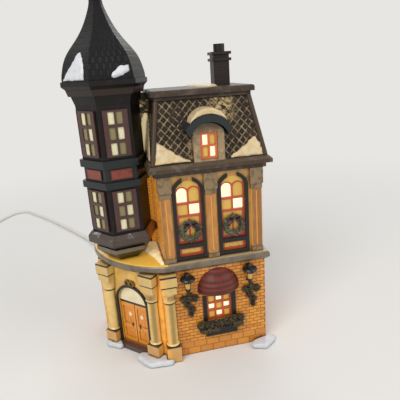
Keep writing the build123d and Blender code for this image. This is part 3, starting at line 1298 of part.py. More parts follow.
clip_reach = sqrt((LAMP_HOLE - GAP) ** 2 - (CLIP_WIDTH / 2) ** 2)
collar_inner = SOCKET_RADIUS + FIT
collar_outer = collar_inner + CLIP_THICK
collar_mouth = SOCKET_MOUTH + CLIP_LIP
arm_points = (
    (collar_outer - CLIP_ROOT, SOCKET_MOUTH + CLIP_ARM),
    (clip_reach - CLIP_THICK, GROUND_BACK - CLIP_SHOULDER),
    (clip_reach - CLIP_THICK, GROUND_BACK - CLIP_BEND),
    (clip_reach - CLIP_TAIL, flange_front),
    (clip_reach - CLIP_TAIL + CLIP_TIP, flange_front),
    (clip_reach, GROUND_BACK - CLIP_BEND + CLIP_MITRE),
    (clip_reach, GROUND_BACK - CLIP_SHOULDER - CLIP_MITRE),
    (collar_outer + CLIP_ROOT, SOCKET_MOUTH + CLIP_ARM - 2 * CLIP_MITRE),
)
with BuildPart() as spring_clip:
    add(turned(*ring(collar_inner, collar_outer, collar_mouth, collar_mouth + CLIP_COLLAR)))
    for side in (-1, 1):
        with BuildSketch(lamp_plan.offset(-CLIP_WIDTH / 2)):
            add(outline(*[(side * x, y) for x, y in arm_points]))
        extrude(amount=CLIP_WIDTH)
    add(turned(*ring(0, collar_inner, SOCKET_MOUTH, flange_front)), mode=Mode.SUBTRACT)
save(spring_clip.part, "spring_clip")

strain_relief = turned(
    (0, SOCKET_REAR),
    (RELIEF_RADIUS, SOCKET_REAR),
    (RELIEF_RADIUS, SOCKET_REAR + RELIEF_COLLAR),
    (CORD / 2 + RELIEF_WALL, CORD_EXIT_Y),
    (0, CORD_EXIT_Y),
)
save(strain_relief, "strain_relief")

# Bulb: screw base with ring threads, and a torpedo glass
base_rear = SOCKET_FLOOR - CONTACT_THICK - GAP
thread_start = BULB_NECK + BULB_COLLAR
thread_root = BULB_THREAD - THREAD_DEPTH
thread_count = int((base_rear - BULB_TAPER - thread_start) / THREAD_PITCH)
base_points = [(0, BULB_NECK), (thread_root, BULB_NECK)]
for i in range(thread_count):
    start = thread_start + i * THREAD_PITCH
    base_points += [(thread_root, start), (BULB_THREAD, start + THREAD_PITCH / 2)]
base_points += [
    (thread_root, thread_start + thread_count * THREAD_PITCH),
    (BULB_CONTACT[0], base_rear - BULB_CONTACT_HEIGHT),
    (BULB_CONTACT[1], base_rear),
    (0, base_rear),
]
with BuildPart() as bulb_base:
    add(turned(*base_points))
save(bulb_base.part, "bulb_base")

with BuildPart() as bulb_glass:
    with BuildSketch(lamp_plan):
        with BuildLine():
            neck = (thread_root, BULB_NECK)
            Polyline((0, BULB_TIP), (0, BULB_NECK), neck)
            upper_y = BULB_WIDEST + BULB_UPPER[1] * (BULB_NECK - BULB_WIDEST)
            shoulder_y = BULB_WIDEST - BULB_SHOULDER[1] * (BULB_WIDEST - BULB_TIP)
            upper = (BULB_RADIUS * BULB_UPPER[0], upper_y)
            shoulder = (BULB_RADIUS * BULB_SHOULDER[0], shoulder_y)
            Spline(neck, upper, (BULB_RADIUS, BULB_WIDEST), shoulder, (0, BULB_TIP))
        make_face()
    revolve(axis=lamp_axis)
save(bulb_glass.part, "bulb_glass")


# Cord
def route_radii(points):
    """Bend radius at each inner point, so that a bend takes its share of the shorter run beside it."""
    radii = []
    for a, b, c in zip(points, points[1:], points[2:]):
        before = Vector(b) - Vector(a)
        after = Vector(c) - Vector(b)
        turn = radians(before.get_angle(after))
        radii.append(BEND_SHARE * min(before.length, after.length) / tan(turn / 2))
    return radii


def cord_along(points, name):
    """Round cord along straight runs joined by tangent arcs."""
    radii = route_radii(points)
    with BuildPart() as tube:
        with BuildLine() as path:
            FilletPolyline(*points, radius=radii)
        wire = path.wires()[0]
        with BuildSketch(Plane(origin=wire @ 0, z_dir=wire % 0)):
            Circle(CORD / 2)
        sweep(path=wire)
    share = tube.part.volume / (pi * CORD**2 / 4 * wire.length)
    print(f"{name}: length {wire.length:.1f}, radii {[round(r, 1) for r in radii]}, volume share {share:.4f}")
    save(tube.part, name)
    return wire.length


def coil_path():
    """Half turns that spiral in on the table, climb a layer, and spiral out on top."""
    turns = []
    place = Vector(0, COIL_Y, COIL_LOW_Z)
    side = 1
    radius = COIL_OUTER
    for i in range(COIL_IN_HALVES):
        turns.append((place, side, radius, 0))
        place = place + Vector(2 * radius * side, 0, 0)
        side = -side
        radius -= COIL_PITCH / 2
    turns.append((place, side, radius, COIL_PITCH))
    place = place + Vector(2 * radius * side, 0, COIL_PITCH)
    side = -side
    for i in range(COIL_OUT_HALVES):
        radius += COIL_PITCH / 2
        turns.append((place, side, radius, 0))
        place = place + Vector(2 * radius * side, 0, 0)
        side = -side
    return turns, place


coil_turns, coil_end = coil_path()
with BuildPart() as cord_coil:
    with BuildLine() as coil_line:
        for place, side, radius, climb in coil_turns:
            reach = sqrt(radius**2 + climb**2 / 4)
            middle = place + Vector(radius * side, reach * side, climb / 2)
            finish = place + Vector(2 * radius * side, 0, climb)
            if climb:
                TangentArc(place, middle, tangent=(0, side, 0))
                TangentArc(finish, middle, tangent=(0, side, 0))
            else:
                ThreePointArc(place, middle, finish)
    with BuildSketch(Plane(origin=coil_turns[0][0], z_dir=(0, 1, 0))):
        Circle(CORD / 2)
    sweep(path=coil_line.wires()[0])
save(cord_coil.part, "cord_coil")
coil_wire = coil_line.wires()[0]
coil_points = [tuple(coil_wire @ (i / COIL_SAMPLES)) for i in range(COIL_SAMPLES + 1)]
coil_skip = int(COIL_SAME * CORD / (coil_wire.length / COIL_SAMPLES))
coil_gap = min(dist(a, b) for i, a in enumerate(coil_points) for b in coil_points[i + coil_skip:]) - CORD
coil_share = cord_coil.part.volume / (pi * CORD**2 / 4 * coil_wire.length)
print(f"cord_coil: length {coil_wire.length:.1f}, volume share {coil_share:.4f}, least gap {coil_gap:.2f}")

lead_length = cord_along(LEAD_ROUTE, "cord_lead")
mid_length = cord_along(MID_ROUTE, "cord_mid")
tail_length = cord_along(TAIL_ROUTE, "cord_tail")
cord_length = lead_length + coil_wire.length + mid_length + SWITCH_LENGTH + tail_length
print(f"cord from the strain relief to the plug: {cord_length:.0f}")

# Tie round the right side of the coil
tie_right = 2 * COIL_OUTER + CORD / 2 + TIE_ROOM
tie_left = 2 * COIL_OUTER - 2 * COIL_PITCH - CORD / 2 - TIE_ROOM
tie_top = COIL_HIGH_Z + CORD / 2 + FIT
tie_width = tie_right - tie_left
with BuildPart() as coil_tie:
    with BuildSketch(Plane(origin=(0, COIL_Y + TIE_WIDTH / 2, 0), x_dir=(1, 0, 0), z_dir=(0, -1, 0))):
        with Locations(((tie_left + tie_right) / 2, (tie_top + TIE_THICK) / 2)):
            RectangleRounded(tie_width + 2 * TIE_THICK, tie_top + TIE_THICK, TIE_ROUND[0])
            RectangleRounded(tie_width, tie_top - TIE_THICK, TIE_ROUND[1], mode=Mode.SUBTRACT)
    extrude(amount=TIE_WIDTH)
save(coil_tie.part, "coil_tie")

# In-line switch: two housing halves, a thumb wheel on an upright pin, two screws
switch_mid = past_switch(SWITCH_LENGTH / 2)
switch_way = (cos(radians(SWITCH_HEADING)), sin(radians(SWITCH_HEADING)), 0)
switch_frame = Plane(origin=(switch_mid[0], switch_mid[1], 0), x_dir=switch_way, z_dir=(0, 0, 1))
wheel_y = SWITCH_WIDTH / 2 + WHEEL_SHOW - WHEEL_RADIUS
wheel_half = WHEEL_THICK / 2
screw_spots = [(side * (SWITCH_LENGTH / 2 - SCREW_SPOT[0]), SCREW_SPOT[1]) for side in (-1, 1)]
pocket = wheel_half + GAP
pin_hole = pocket + WHEEL_PIN_REACH + GAP
with BuildPart() as switch_base:
    with BuildSketch(switch_frame):
        RectangleRounded(SWITCH_LENGTH, SWITCH_WIDTH, SWITCH_CORNER)
    extrude(amount=SWITCH_SPLIT)
    fillet(switch_base.faces().sort_by(Axis.Z)[0].edges(), radius=SWITCH_FOOT_ROUND)
    with BuildSketch(switch_frame.offset(SWITCH_SPLIT)):
        with Locations((0, wheel_y)):
            Circle(WHEEL_RADIUS + GAP)
    extrude(amount=-pocket, mode=Mode.SUBTRACT)
    with BuildSketch(switch_frame.offset(SWITCH_SPLIT)):
        with Locations((0, wheel_y)):
            Circle(WHEEL_PIN + RUN)
    extrude(amount=-pin_hole, mode=Mode.SUBTRACT)
    with BuildSketch(switch_frame.offset(SWITCH_SPLIT)):
        with Locations(*screw_spots):
            Circle(SCREW_RADIUS + FIT)
    extrude(amount=-SCREW_DEPTH - GAP, mode=Mode.SUBTRACT)
save(switch_base.part, "switch_base")

with BuildPart() as switch_cover:
    with BuildSketch(switch_frame.offset(SWITCH_SPLIT)):
        RectangleRounded(SWITCH_LENGTH, SWITCH_WIDTH, SWITCH_CORNER)
    extrude(amount=SWITCH_HEIGHT - SWITCH_SPLIT)
    fillet(switch_cover.faces().sort_by(Axis.Z)[-1].edges(), radius=SWITCH_TOP_ROUND)
    with BuildSketch(switch_frame.offset(SWITCH_SPLIT)):
        with Locations((0, wheel_y)):
            Circle(WHEEL_RADIUS + GAP)
    extrude(amount=pocket, mode=Mode.SUBTRACT)
    with BuildSketch(switch_frame.offset(SWITCH_SPLIT)):
        with Locations((0, wheel_y)):
            Circle(WHEEL_PIN + RUN)
    extrude(amount=pin_hole, mode=Mode.SUBTRACT)
    with BuildSketch(switch_frame.offset(SWITCH_SPLIT)):
        with Locations(*screw_spots):
            Circle(SCREW_RADIUS + FIT)
    extrude(amount=SWITCH_HEIGHT, mode=Mode.SUBTRACT)
    with BuildSketch(switch_frame.offset(SWITCH_HEIGHT)):
        with Locations(*screw_spots):
            Circle(SCREW_HEAD + FIT)
    extrude(amount=-SCREW_SINK, mode=Mode.SUBTRACT)
save(switch_cover.part, "switch_cover")

with BuildPart() as switch_wheel:
    with BuildSketch(switch_frame.offset(SWITCH_SPLIT - wheel_half)):
        with Locations((0, wheel_y)):
            Circle(WHEEL_RADIUS)
            with PolarLocations(WHEEL_RADIUS + WHEEL_NOTCH_OUT, WHEEL_NOTCHES):
                Circle(WHEEL_NOTCH, mode=Mode.SUBTRACT)
    extrude(amount=WHEEL_THICK)
    with BuildSketch(switch_frame.offset(SWITCH_SPLIT - pocket - WHEEL_PIN_REACH)):
        with Locations((0, wheel_y)):
            Circle(WHEEL_PIN)
    extrude(amount=2 * (pocket + WHEEL_PIN_REACH))
save(switch_wheel.part, "switch_wheel")

screw_foot = SWITCH_SPLIT - SCREW_DEPTH
head_foot = SWITCH_HEIGHT - SCREW_SINK + FIT
with BuildPart() as switch_screws:
    for spot in screw_spots:
        with BuildSketch(switch_frame.offset(screw_foot)):
            with Locations(spot):
                Circle(SCREW_RADIUS)
        extrude(amount=head_foot - screw_foot)
        with BuildSketch(switch_frame.offset(head_foot)):
            with Locations(spot):
                Circle(SCREW_HEAD)
        extrude(amount=SCREW_HEAD_THICK)
        with BuildSketch(switch_frame.offset(head_foot + SCREW_HEAD_THICK)):
            with Locations(spot):
                Rectangle(2 * SCREW_HEAD, SCREW_SLOT)
        extrude(amount=-SCREW_SLOT, mode=Mode.SUBTRACT)
save(switch_screws.part, "switch_screws")

# Plug at the end of the cord, lying flat
plug_rear = Vector(TAIL_ROUTE[-1])
plug_way = (plug_rear - Vector(TAIL_ROUTE[-2])).normalized()
plug_frame = Plane(origin=plug_rear, x_dir=(-plug_way.Y, plug_way.X, 0), z_dir=plug_way)
with BuildPart() as plug_body:
    with BuildSketch(plug_frame):
        RectangleRounded(PLUG_WIDTH * PLUG_REAR[0], PLUG_HEIGHT * PLUG_REAR[1], PLUG_CORNER)
    with BuildSketch(plug_frame.offset(PLUG_LENGTH * PLUG_GRIP)):
        RectangleRounded(PLUG_WIDTH, PLUG_HEIGHT, PLUG_CORNER)
    loft()
    with BuildSketch(plug_frame.offset(PLUG_LENGTH * PLUG_GRIP)):
        RectangleRounded(PLUG_WIDTH, PLUG_HEIGHT, PLUG_CORNER)
    extrude(amount=PLUG_LENGTH * (1 - PLUG_GRIP))
save(plug_body.part, "plug_body")

with BuildPart() as plug_blades:
    for side in (-1, 1):
        with BuildSketch(plug_frame.offset(PLUG_LENGTH)):
            with Locations((side * BLADE_SPACING / 2, 0)):
                Rectangle(BLADE[1], BLADE[0])
        extrude(amount=BLADE[2])
    blade_tips = plug_blades.faces().sort_by(Axis(plug_rear, plug_way))[-2:]
    chamfer(blade_tips.edges(), length=BLADE_CHAMFER)
save(plug_blades.part, "plug_blades")
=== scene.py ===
"""Looks of the lit ceramic village house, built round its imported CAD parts.

Every place is in millimetres of the house's own frame until MM turns it into Blender's metres.
"""

import json
import math
import random

import bmesh
import bpy
from bpy.props import FloatProperty, FloatVectorProperty, IntProperty, PointerProperty
from mathutils import Matrix, Vector, noise
from mathutils.bvhtree import BVHTree

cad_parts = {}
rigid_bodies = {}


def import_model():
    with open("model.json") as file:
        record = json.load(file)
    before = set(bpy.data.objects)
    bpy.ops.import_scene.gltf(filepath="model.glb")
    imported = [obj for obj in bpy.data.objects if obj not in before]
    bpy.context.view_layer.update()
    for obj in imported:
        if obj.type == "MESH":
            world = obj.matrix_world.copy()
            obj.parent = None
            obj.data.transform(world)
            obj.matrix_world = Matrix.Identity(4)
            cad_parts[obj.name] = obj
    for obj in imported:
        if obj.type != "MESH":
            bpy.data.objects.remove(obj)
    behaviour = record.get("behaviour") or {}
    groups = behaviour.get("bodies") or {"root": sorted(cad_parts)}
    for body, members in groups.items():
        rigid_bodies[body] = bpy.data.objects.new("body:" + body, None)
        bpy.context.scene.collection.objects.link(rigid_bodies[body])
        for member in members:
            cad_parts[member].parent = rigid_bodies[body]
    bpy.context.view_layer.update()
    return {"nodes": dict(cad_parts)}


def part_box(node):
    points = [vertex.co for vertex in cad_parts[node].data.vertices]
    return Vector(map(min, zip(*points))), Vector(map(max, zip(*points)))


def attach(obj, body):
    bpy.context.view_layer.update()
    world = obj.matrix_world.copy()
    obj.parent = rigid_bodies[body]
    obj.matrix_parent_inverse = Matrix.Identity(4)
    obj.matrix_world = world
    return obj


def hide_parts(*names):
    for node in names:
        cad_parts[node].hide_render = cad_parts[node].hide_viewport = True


for leftover in list(bpy.data.objects):
    bpy.data.objects.remove(leftover)
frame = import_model()
NODES = frame["nodes"]
MM = 0.001

bl_info = {
    "name": "Lit village house",
    "version": (1, 0, 0),
    "blender": (4, 5, 0),
    "location": "View3D > Sidebar > Village house",
    "description": "Paints the house and adds its brickwork, slates, snow, greenery and cord",
    "category": "Object",
}

# Places taken over from the part's source
GROUND_LEFT, GROUND_RIGHT = -71.5, 71.0
GROUND_FRONT, GROUND_BACK = -38.6, 48.0
LEFT_WALL = 37.0               # length of the left wall, behind the entrance
BRICK_START = -14.0            # where the front's brickwork begins, beside the columns
BRICK_TOP = 83.6
UPPER_LEFT, UPPER_RIGHT = -15.5, 70.5
UPPER_FRONT, UPPER_BACK = -36.0, 40.0
FINE_BRICK_FOOT, FINE_BRICK_TOP = 91.8, 165.4
ROOF_MIDDLE = (27.5, 2.0)
ROOF_HALF = (45.8, 40.8)       # at its foot
ROOF_LEAN = (0.1715, 0.3096)   # how far the sides and the front lean in, as a share of the height
ROOF_FOOT, ROOF_HEAD = 175.0, 222.8
TOWER_X, TOWER_Y = -45.7, -1.2
LEFT_FACE, FRONT_FACE = -140.6, -80.6   # headings of two tower faces, in degrees
ARCH_MIDDLE = 26.3
ARCH_HALF = 18.7               # from there to the middle of a window
WREATH_Y, WREATH_Z = -36.4, 117.4
WREATH_RADIUS = 7.2
SHOP_X = 28.2
SHOP_OPENING = (31.6, 56.8)    # heights without bricks
SHOP_HALF = 11.7
LANTERN_MIDDLE, LANTERN_HALF, LANTERN_Y = 28.05, 27.35, -44.4
HANGING_X = (1.6, 57.6)
DOOR_X, DOOR_Y = 45.9, 14.6    # left of and in front of the origin
LAMP_Z = 46.0
LAMP_CLEAR = 23.2              # radius without bricks

LEAD_ROUTE = ((0, 81, 46), (0, 97, 46), (0, 114, 29), (0, 129, 11), (0, 139, 3.8), (0, 152, 3.8))
COIL_START = (0, 152, 3.8)
COIL_RADII = (36, 33.2, 30.4, 27.6, 24.8, 22, 24.8, 27.6, 30.4, 33.2)
COIL_CLIMB_TURN = 5
COIL_CLIMB = 5.6
MID_ROUTE = (
    (5.6, 152, 9.4), (5.6, 166, 9.4), (1, 179, 8.8), (-7, 189, 5.6), (-17, 196.5, 4.2),
    (-29, 204, 4.2),
)
TAIL_ROUTE = (
    (-68.0, 228.4, 4.2), (-83.3, 237.9, 4.2), (-90, 262, 2.5), (-116, 311, 2.5), (-143, 358, 2.5),
    (-173, 407, 2.5), (-199, 443, 2.5), (-214, 466, 2.5), (-233, 467, 2.5), (-246, 449, 2.5),
    (-259, 424, 2.5), (-267, 405, 6), (-273.2, 390.3, 6),
)

# Light, and glazes that several finishes share
DARK = (0, 0, 0, 1)
ROOM_LIGHT = 1.1
# Each preset paints black shade into its corners.
SATIN = {"coat": 0.2, "painted_shade": "black", "shine": 0.35}
DULL = {"coat": 0.1, "painted_shade": "black", "shine": 0.3}
MATT = {"rough": 0.42, "coat": 0.05, "painted_shade": "black", "shine": 0.25}
ROOFING = {"coat": 0.04, "painted_shade": "black", "shine": 0.2}


def srgb(red, green, blue):
    """Colour as the eye reads it, 0 to 255, in Blender's linear values."""
    linear = []
    for part in (red, green, blue):
        share = part / 255
        linear.append(share / 12.92 if share <= 0.04045 else ((share + 0.055) / 1.055) ** 2.4)
    return (*linear, 1.0)


def colour(label, note, red, green, blue):
    """Colour property with its default."""
    return FloatVectorProperty(
        name=label, description=note, subtype="COLOR", size=4, min=0, max=1,
        default=srgb(red, green, blue),
    )


def length(label, note, millimetres):
    """Length property with its default."""
    return FloatProperty(
        name=label, description=note, unit="LENGTH", min=0, precision=5, default=millimetres * MM
    )


class HOUSE_PG_colours(bpy.types.PropertyGroup):
    """Glazes and paints of the house."""

    brick: colour("Brick", "Lit brick of the ground storey", 206, 136, 42)
    brick_dark: colour("Dark brick", "Deeper tone of single bricks", 176, 108, 32)
    mortar: colour("Mortar", "Joints between the bricks", 156, 94, 28)
    plinth: colour("Plinth", "Stone blocks along the foot", 196, 128, 42)
    entrance: colour("Entrance wall", "Plaster round the door", 216, 170, 80)
    # Stain is real brown stain in blotches, and also the colour of painted shade in corners and on
    # shaded sides.
    plaster: colour("Plaster", "Upper front wall", 202, 152, 66)
    stain: colour("Stain", "Brown wash in corners", 74, 44, 18)
    cream: colour("Cream", "Columns", 206, 176, 108)
    olive: colour("Olive", "Shaded side of the column shafts", 138, 110, 54)
    # Ember is painted light: between the columns, in the pilaster flutes and in the shop window.
    ember: colour("Ember", "Light between the columns", 238, 164, 62)
    black: colour("Black", "Window frames, shutters and lanterns", 22, 20, 19)
    pilaster: colour("Pilaster", "Shafts of the upper storey", 170, 112, 56)
    capital: colour("Capital", "Heads of the pilasters", 130, 108, 74)
    sash: colour("Sash", "Red window bars", 178, 60, 36)
    amber: colour("Amber", "Blind panes and panels", 196, 156, 66)
    light: colour("Light", "Light inside the house", 255, 240, 206)
    ledge: colour("Ledge", "Nosing of the ledge", 112, 100, 84)
    ledge_top: colour("Ledge top", "Lit top over the entrance", 222, 174, 70)
    eave: colour("Eave", "Eave moulding", 68, 53, 40)
    slate: colour("Slate", "Roof slates", 34, 27, 21)
    joint: colour("Slate joint", "Joints between the slates", 158, 136, 100)
    warm_snow: colour("Warm snow", "Snow that the house lights", 200, 174, 124)
    cool_snow: colour("Cool snow", "Snow on the dome and the ground", 200, 202, 206)
    # Ledge snow is snow painted as brightly lit.
    ledge_snow: colour("Ledge snow", "Bright snow between the tower and the house", 240, 216, 156)
    dormer: colour("Dormer", "Dormer walls", 154, 128, 90)
    hood: colour("Hood", "Dormer hood", 27, 35, 35)
    cap: colour("Roof cap", "Flat top of the roof", 64, 52, 44)
    chimney: colour("Chimney", "Chimney bricks", 40, 24, 19)
    post: colour("Tower post", "Tower walls and posts", 17, 13, 12)
    # Pane is the painted light of the bright tower panes.
    tower_sash: colour("Tower sash", "Tower window frames", 68, 31, 25)
    pane: colour("Pane", "Bright tower panes", 208, 202, 164)
    dull_pane: colour("Dull pane", "Darker tower panes", 122, 112, 72)
    band: colour("Band", "Tower mouldings", 17, 20, 21)
    panel: colour("Panel", "Tower panels", 130, 60, 44)
    sill: colour("Sill", "Tower sill", 70, 60, 53)
    dome: colour("Dome", "Onion dome", 12, 11, 12)
    door: colour("Door", "Door boards", 208, 134, 42)
    board: colour("Board", "Bare board over the door", 216, 202, 168)
    step: colour("Step", "Door step", 78, 58, 56)
    awning: colour("Awning", "Awning cloth", 108, 42, 30)
    leaf: colour("Leaf", "Wreath needles", 84, 84, 62)
    leaf_tip: colour("Leaf tip", "Tips of the wreath needles", 146, 140, 112)
    box_leaf: colour("Box leaf", "Greenery of the box and under the lanterns", 50, 43, 24)
    box_tip: colour("Box tip", "Tips of that greenery", 116, 98, 64)
    bow: colour("Bow", "Wreath bows", 86, 40, 56)
    bronze: colour("Bronze", "Scroll over the door", 122, 94, 36)
    plastic: colour("Plastic", "Lamp holder, switch and plug", 228, 226, 218)
    cord: colour("Cord", "Cord", 208, 206, 200)
    brass: colour("Brass", "Bulb base and plug blades", 198, 160, 84)
    steel: colour("Steel", "Spring clip and screws", 176, 176, 178)
    floor: colour("Floor", "Studio floor", 226, 224, 220)


class HOUSE_PG_sizes(bpy.types.PropertyGroup):
    """Sizes of the modelled relief."""

    brick: length("Brick", "Length of a ground-storey brick", 7.0)
    course: length("Course", "Height of a ground-storey course", 3.05)
    fine_brick: length("Fine brick", "Length of an upper-storey brick", 5.4)
    fine_course: length("Fine course", "Height of an upper-storey course", 2.5)
    stone: length("Stone", "Length of a plinth block", 11.5)
    stone_course: length("Stone course", "Height of a plinth block", 6.6)
    brick_joint: length("Joint", "Width of a mortar joint", 0.5)
    brick_proud: length("Relief", "How far a brick stands out", 0.4)
    slate_width: length("Slate width", "Width of a diamond slate", 6.2)
    slate_height: length("Slate height", "Height of a diamond slate", 7.0)
    slate_thick: length("Slate thickness", "How far a slate stands out", 0.7)
    snow_grid: length("Snow grid", "Spacing of the snow's mesh", 0.9)
    needle: length("Needle", "Length of an evergreen needle", 2.4)
    cord: length("Cord", "Diameter of the cord", 5.0)
    seed: IntProperty(name="Seed", description="Start of the random draws", default=11)


def tones():
    return bpy.context.scene.house_colours


def sizes():
    return bpy.context.scene.house_sizes


def math_node(operation):
    """Method that adds one math node for a wire and its other values."""
    return lambda self, *others: self.math(operation, self, *others)


class Wire:
    """A number's socket that can be written in sums."""

    __add__ = __radd__ = math_node("ADD")
    __sub__ = math_node("SUBTRACT")
    __mul__ = __rmul__ = math_node("MULTIPLY")
    __truediv__ = math_node("DIVIDE")
    __gt__ = math_node("GREATER_THAN")
    __lt__ = math_node("LESS_THAN")
    __abs__ = math_node("ABSOLUTE")
    floor = math_node("FLOOR")
    sign = math_node("SIGN")
    root = math_node("SQRT")
    lower = math_node("MINIMUM")
    upper = math_node("MAXIMUM")
    heading = math_node("ARCTAN2")     # angle of the place (x, self) about the origin

    def __init__(self, nodes, socket):
        self.nodes = nodes
        self.socket = socket

    def math(self, operation, *values):
        return self.nodes.add("ShaderNodeMath", {"operation": operation}, dict(enumerate(values)))

    def __rsub__(self, other):
        return self.math("SUBTRACT", other, self)

    def __rtruediv__(self, other):
        return self.math("DIVIDE", other, self)

    def fold(self, period):
        """Distance to the nearest whole multiple of the period."""
        return self.math("PINGPONG", self, period / 2)

    def odd(self):
        """Remainder after twos."""
        return self.math("MODULO", self, 2.0)

    def ramp(self, start, end):
        """0 at start and 1 at end, smooth between."""
        limits = {"Value": self, "From Min": start, "From Max": end, "To Min": 0.0, "To Max": 1.0}
        if start > end:
            limits.update({"From Min": end, "From Max": start, "To Min": 1.0, "To Max": 0.0})
        return self.nodes.add("ShaderNodeMapRange", {"interpolation_type": "SMOOTHSTEP"}, limits)

    def band(self, low, high, soft):
        """1 between two values, with soft edges."""
        return self.ramp(low - soft, low + soft) * self.ramp(high + soft, high - soft)


class Nodes:
    """A node tree and one way to add to it."""

    def __init__(self, tree):
        self.tree = tree

    def add(self, kind, settings=None, inputs=None, output=0):
        """Node with its settings, then its inputs; gives the named output."""
        node = self.tree.nodes.new(kind)
        for key, value in (settings or {}).items():
            setattr(node, key, value)
        for key, value in (inputs or {}).items():
            self.feed(node.inputs[key], value)
        return Wire(self, node.outputs[output])

    def feed(self, socket, value):
        """Link a wire to a socket, or set its value. A text names one of the house's colours."""
        if isinstance(value, Wire):
            self.tree.links.new(value.socket, socket)
        else:
            socket.default_value = getattr(tones(), value) if isinstance(value, str) else value


class Paint(Nodes):
    """One glazed finish, read in the millimetres of the house's frame."""

    def __init__(self, name):
        self.material = bpy.data.materials.new(name)
        self.material.use_nodes = True
        super().__init__(self.material.node_tree)
        self.shader = self.tree.nodes["Principled BSDF"]
        self.place = self.add("ShaderNodeTexCoord", output="Object")
        self.x, self.y, self.z = (axis * (1 / MM) for axis in self.split(self.place))
        self.nx, self.ny, self.nz = self.split(self.add("ShaderNodeTexCoord", output="Normal"))

    def split(self, vector):
        node = self.add("ShaderNodeSeparateXYZ", {}, {0: vector}).socket.node
        return [Wire(self, out) for out in node.outputs]

    def join(self, x, y, z):
        return self.add("ShaderNodeCombineXYZ", {}, {0: x, 1: y, 2: z})

    def mix(self, mask, first, second, blend="MIX"):
        """First colour where the mask is 0, second where it is 1."""
        settings = {"data_type": "RGBA", "blend_type": blend}
        return self.add("ShaderNodeMix", settings, {0: mask, 6: first, 7: second}, 2)

    def lit(self, mask, tone="light"):
        """Light of one tone where the mask is 1, and none elsewhere."""
        return self.mix(mask, DARK, tone)

    def noise(self, size, detail=3.0, vector=None):
        """Cloudy noise whose blotches are about size millimetres across."""
        inputs = {"Scale": 1 / (size * MM), "Detail": detail, "Roughness": 0.55}
        inputs["Vector"] = vector or self.place
        return self.add("ShaderNodeTexNoise", {}, inputs, "Fac")

    def blotch(self, base, tone, size, detail, start, end, share):
        """Cloudy patches of another tone over the base."""
        return self.mix(self.noise(size, detail).ramp(start, end) * share, base, tone)

    def chance(self, x, y):
        """One random number for each whole (x, y)."""
        return self.add("ShaderNodeTexWhiteNoise", {}, {"Vector": self.join(x, y, 0.0)}, "Value")

    def block_tone(self):
        """Tone that each brick, slate or needle carries."""
        return self.add("ShaderNodeAttribute", {"attribute_name": "tone"}, {}, "Fac")

    def within(self, low, high):
        """1 inside a box between two corners."""
        spans = zip((self.x, self.y, self.z), low, high)
        tests = [(axis > a) * (axis < b) for axis, a, b in spans]
        return tests[0] * tests[1] * tests[2]

    def across(self, x, y):
        """Place along an upright face, to the right of someone facing it."""
        return (self.y - y) * self.nx - (self.x - x) * self.ny

    def outward(self, x, y):
        """Distance of an upright face from a middle."""
        return (self.x - x) * self.nx + (self.y - y) * self.ny

    def finish(self, base, rough=0.34, height=None, depth=0.3, coat=0.3, metal=0.0, mottle=0.14,
               painted_shade=None, soft=0.35, glow=None, strength=0.0, size=9.0, shine=0.5):
        """Mottle the colour, paint shade into its corners, and wire it to the shader; strength adds
        a painted glow.
        """
        if mottle:
            dim, bright = ((1 + change,) * 3 + (1,) for change in (-mottle, mottle))
            base = self.mix(1.0, base, self.mix(self.noise(size, 5.0), dim, bright), "MULTIPLY")
        # Painted shade: the colour darkens into corners and hollows by ambient occlusion.
        if painted_shade is not None:
            reach = {"Distance": 3.0 * MM}
            open_share = self.add("ShaderNodeAmbientOcclusion", {"samples": 8}, reach, "AO")
            base = self.mix(open_share.ramp(0.92, 0.25) * 0.85, base, painted_shade)
        grain = self.noise(1.3, 2.0)
        relief = grain * 0.12 if height is None else height + grain * 0.08
        soft_normal = self.add("ShaderNodeBevel", {"samples": 4}, {"Radius": soft * MM})
        bump = {"Height": relief, "Distance": depth * MM, "Strength": 1.0, "Normal": soft_normal}
        wanted = {
            "Base Color": base,
            "Roughness": grain * 0.2 + (rough - 0.1),
            "Metallic": metal,
            "Coat Weight": coat,
            "Coat Roughness": 0.16,
            "Specular IOR Level": shine,
            "Normal": self.add("ShaderNodeBump", {}, bump),
        }
        if strength:
            wanted["Emission Color"] = base if glow is None else glow
            wanted["Emission Strength"] = strength
        for key, value in wanted.items():
            self.feed(self.shader.inputs[key], value)
        return self


def mesh_of(name, bm):
    """Mesh of a bmesh that is done with."""
    mesh = bpy.data.meshes.new(name)
    bm.to_mesh(mesh)
    bm.free()
    return mesh


def stand(name, data):
    """New object in the scene."""
    made = bpy.data.objects.new(name, data)
    bpy.context.scene.collection.objects.link(made)
    return made


def piece(name, mesh, paint, node=None, smooth=True):
    """Object for a finished bmesh or mesh that rides on the house."""
    shape = mesh_of(name, mesh) if isinstance(mesh, bmesh.types.BMesh) else mesh
    shape.polygons.foreach_set("use_smooth", [smooth] * len(shape.polygons))
    shape.materials.clear()
    shape.materials.append(paint.material)
    made = stand(name, shape)
    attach(made, "house")
    if node:
        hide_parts(node)


def dress(paint, *nodes):
    """Give CAD nodes a finish."""
    for name in nodes:
        slots = NODES[name].data.materials
        slots.clear()
        slots.append(paint.material)


def plain(name, tone, **looks):
    """One-colour glaze with mottling and painted shade in its corners."""
    return Paint(name).finish(tone, painted_shade="black", **looks)


def tree_of(node):
    """Search tree of a CAD node's mesh."""
    mesh = NODES[node].data
    mesh.calc_loop_triangles()
    corners = [v.co for v in mesh.vertices]
    return BVHTree.FromPolygons(corners, [t.vertices for t in mesh.loop_triangles])


def basis(x_axis, y_axis, z_axis, origin, scale=(1, 1, 1)):
    """Matrix from three axes, their scales and a place."""
    columns = [Vector(a) * s for a, s in zip((x_axis, y_axis, z_axis), scale)]
    turn = Matrix((columns[0], columns[1], columns[2])).transposed().to_4x4()
    return Matrix.Translation(Vector(origin)) @ turn


def tone_layer(bm):
    """Face layer that holds each block's tone."""
    layers = bm.faces.layers.float
    return layers.get("tone") or layers.new("tone")


def shade_block(made, tone, shade):
    """Write one tone onto the faces of a new block."""
    for face in {f for v in made["verts"] for f in v.link_faces}:
        face[tone] = shade


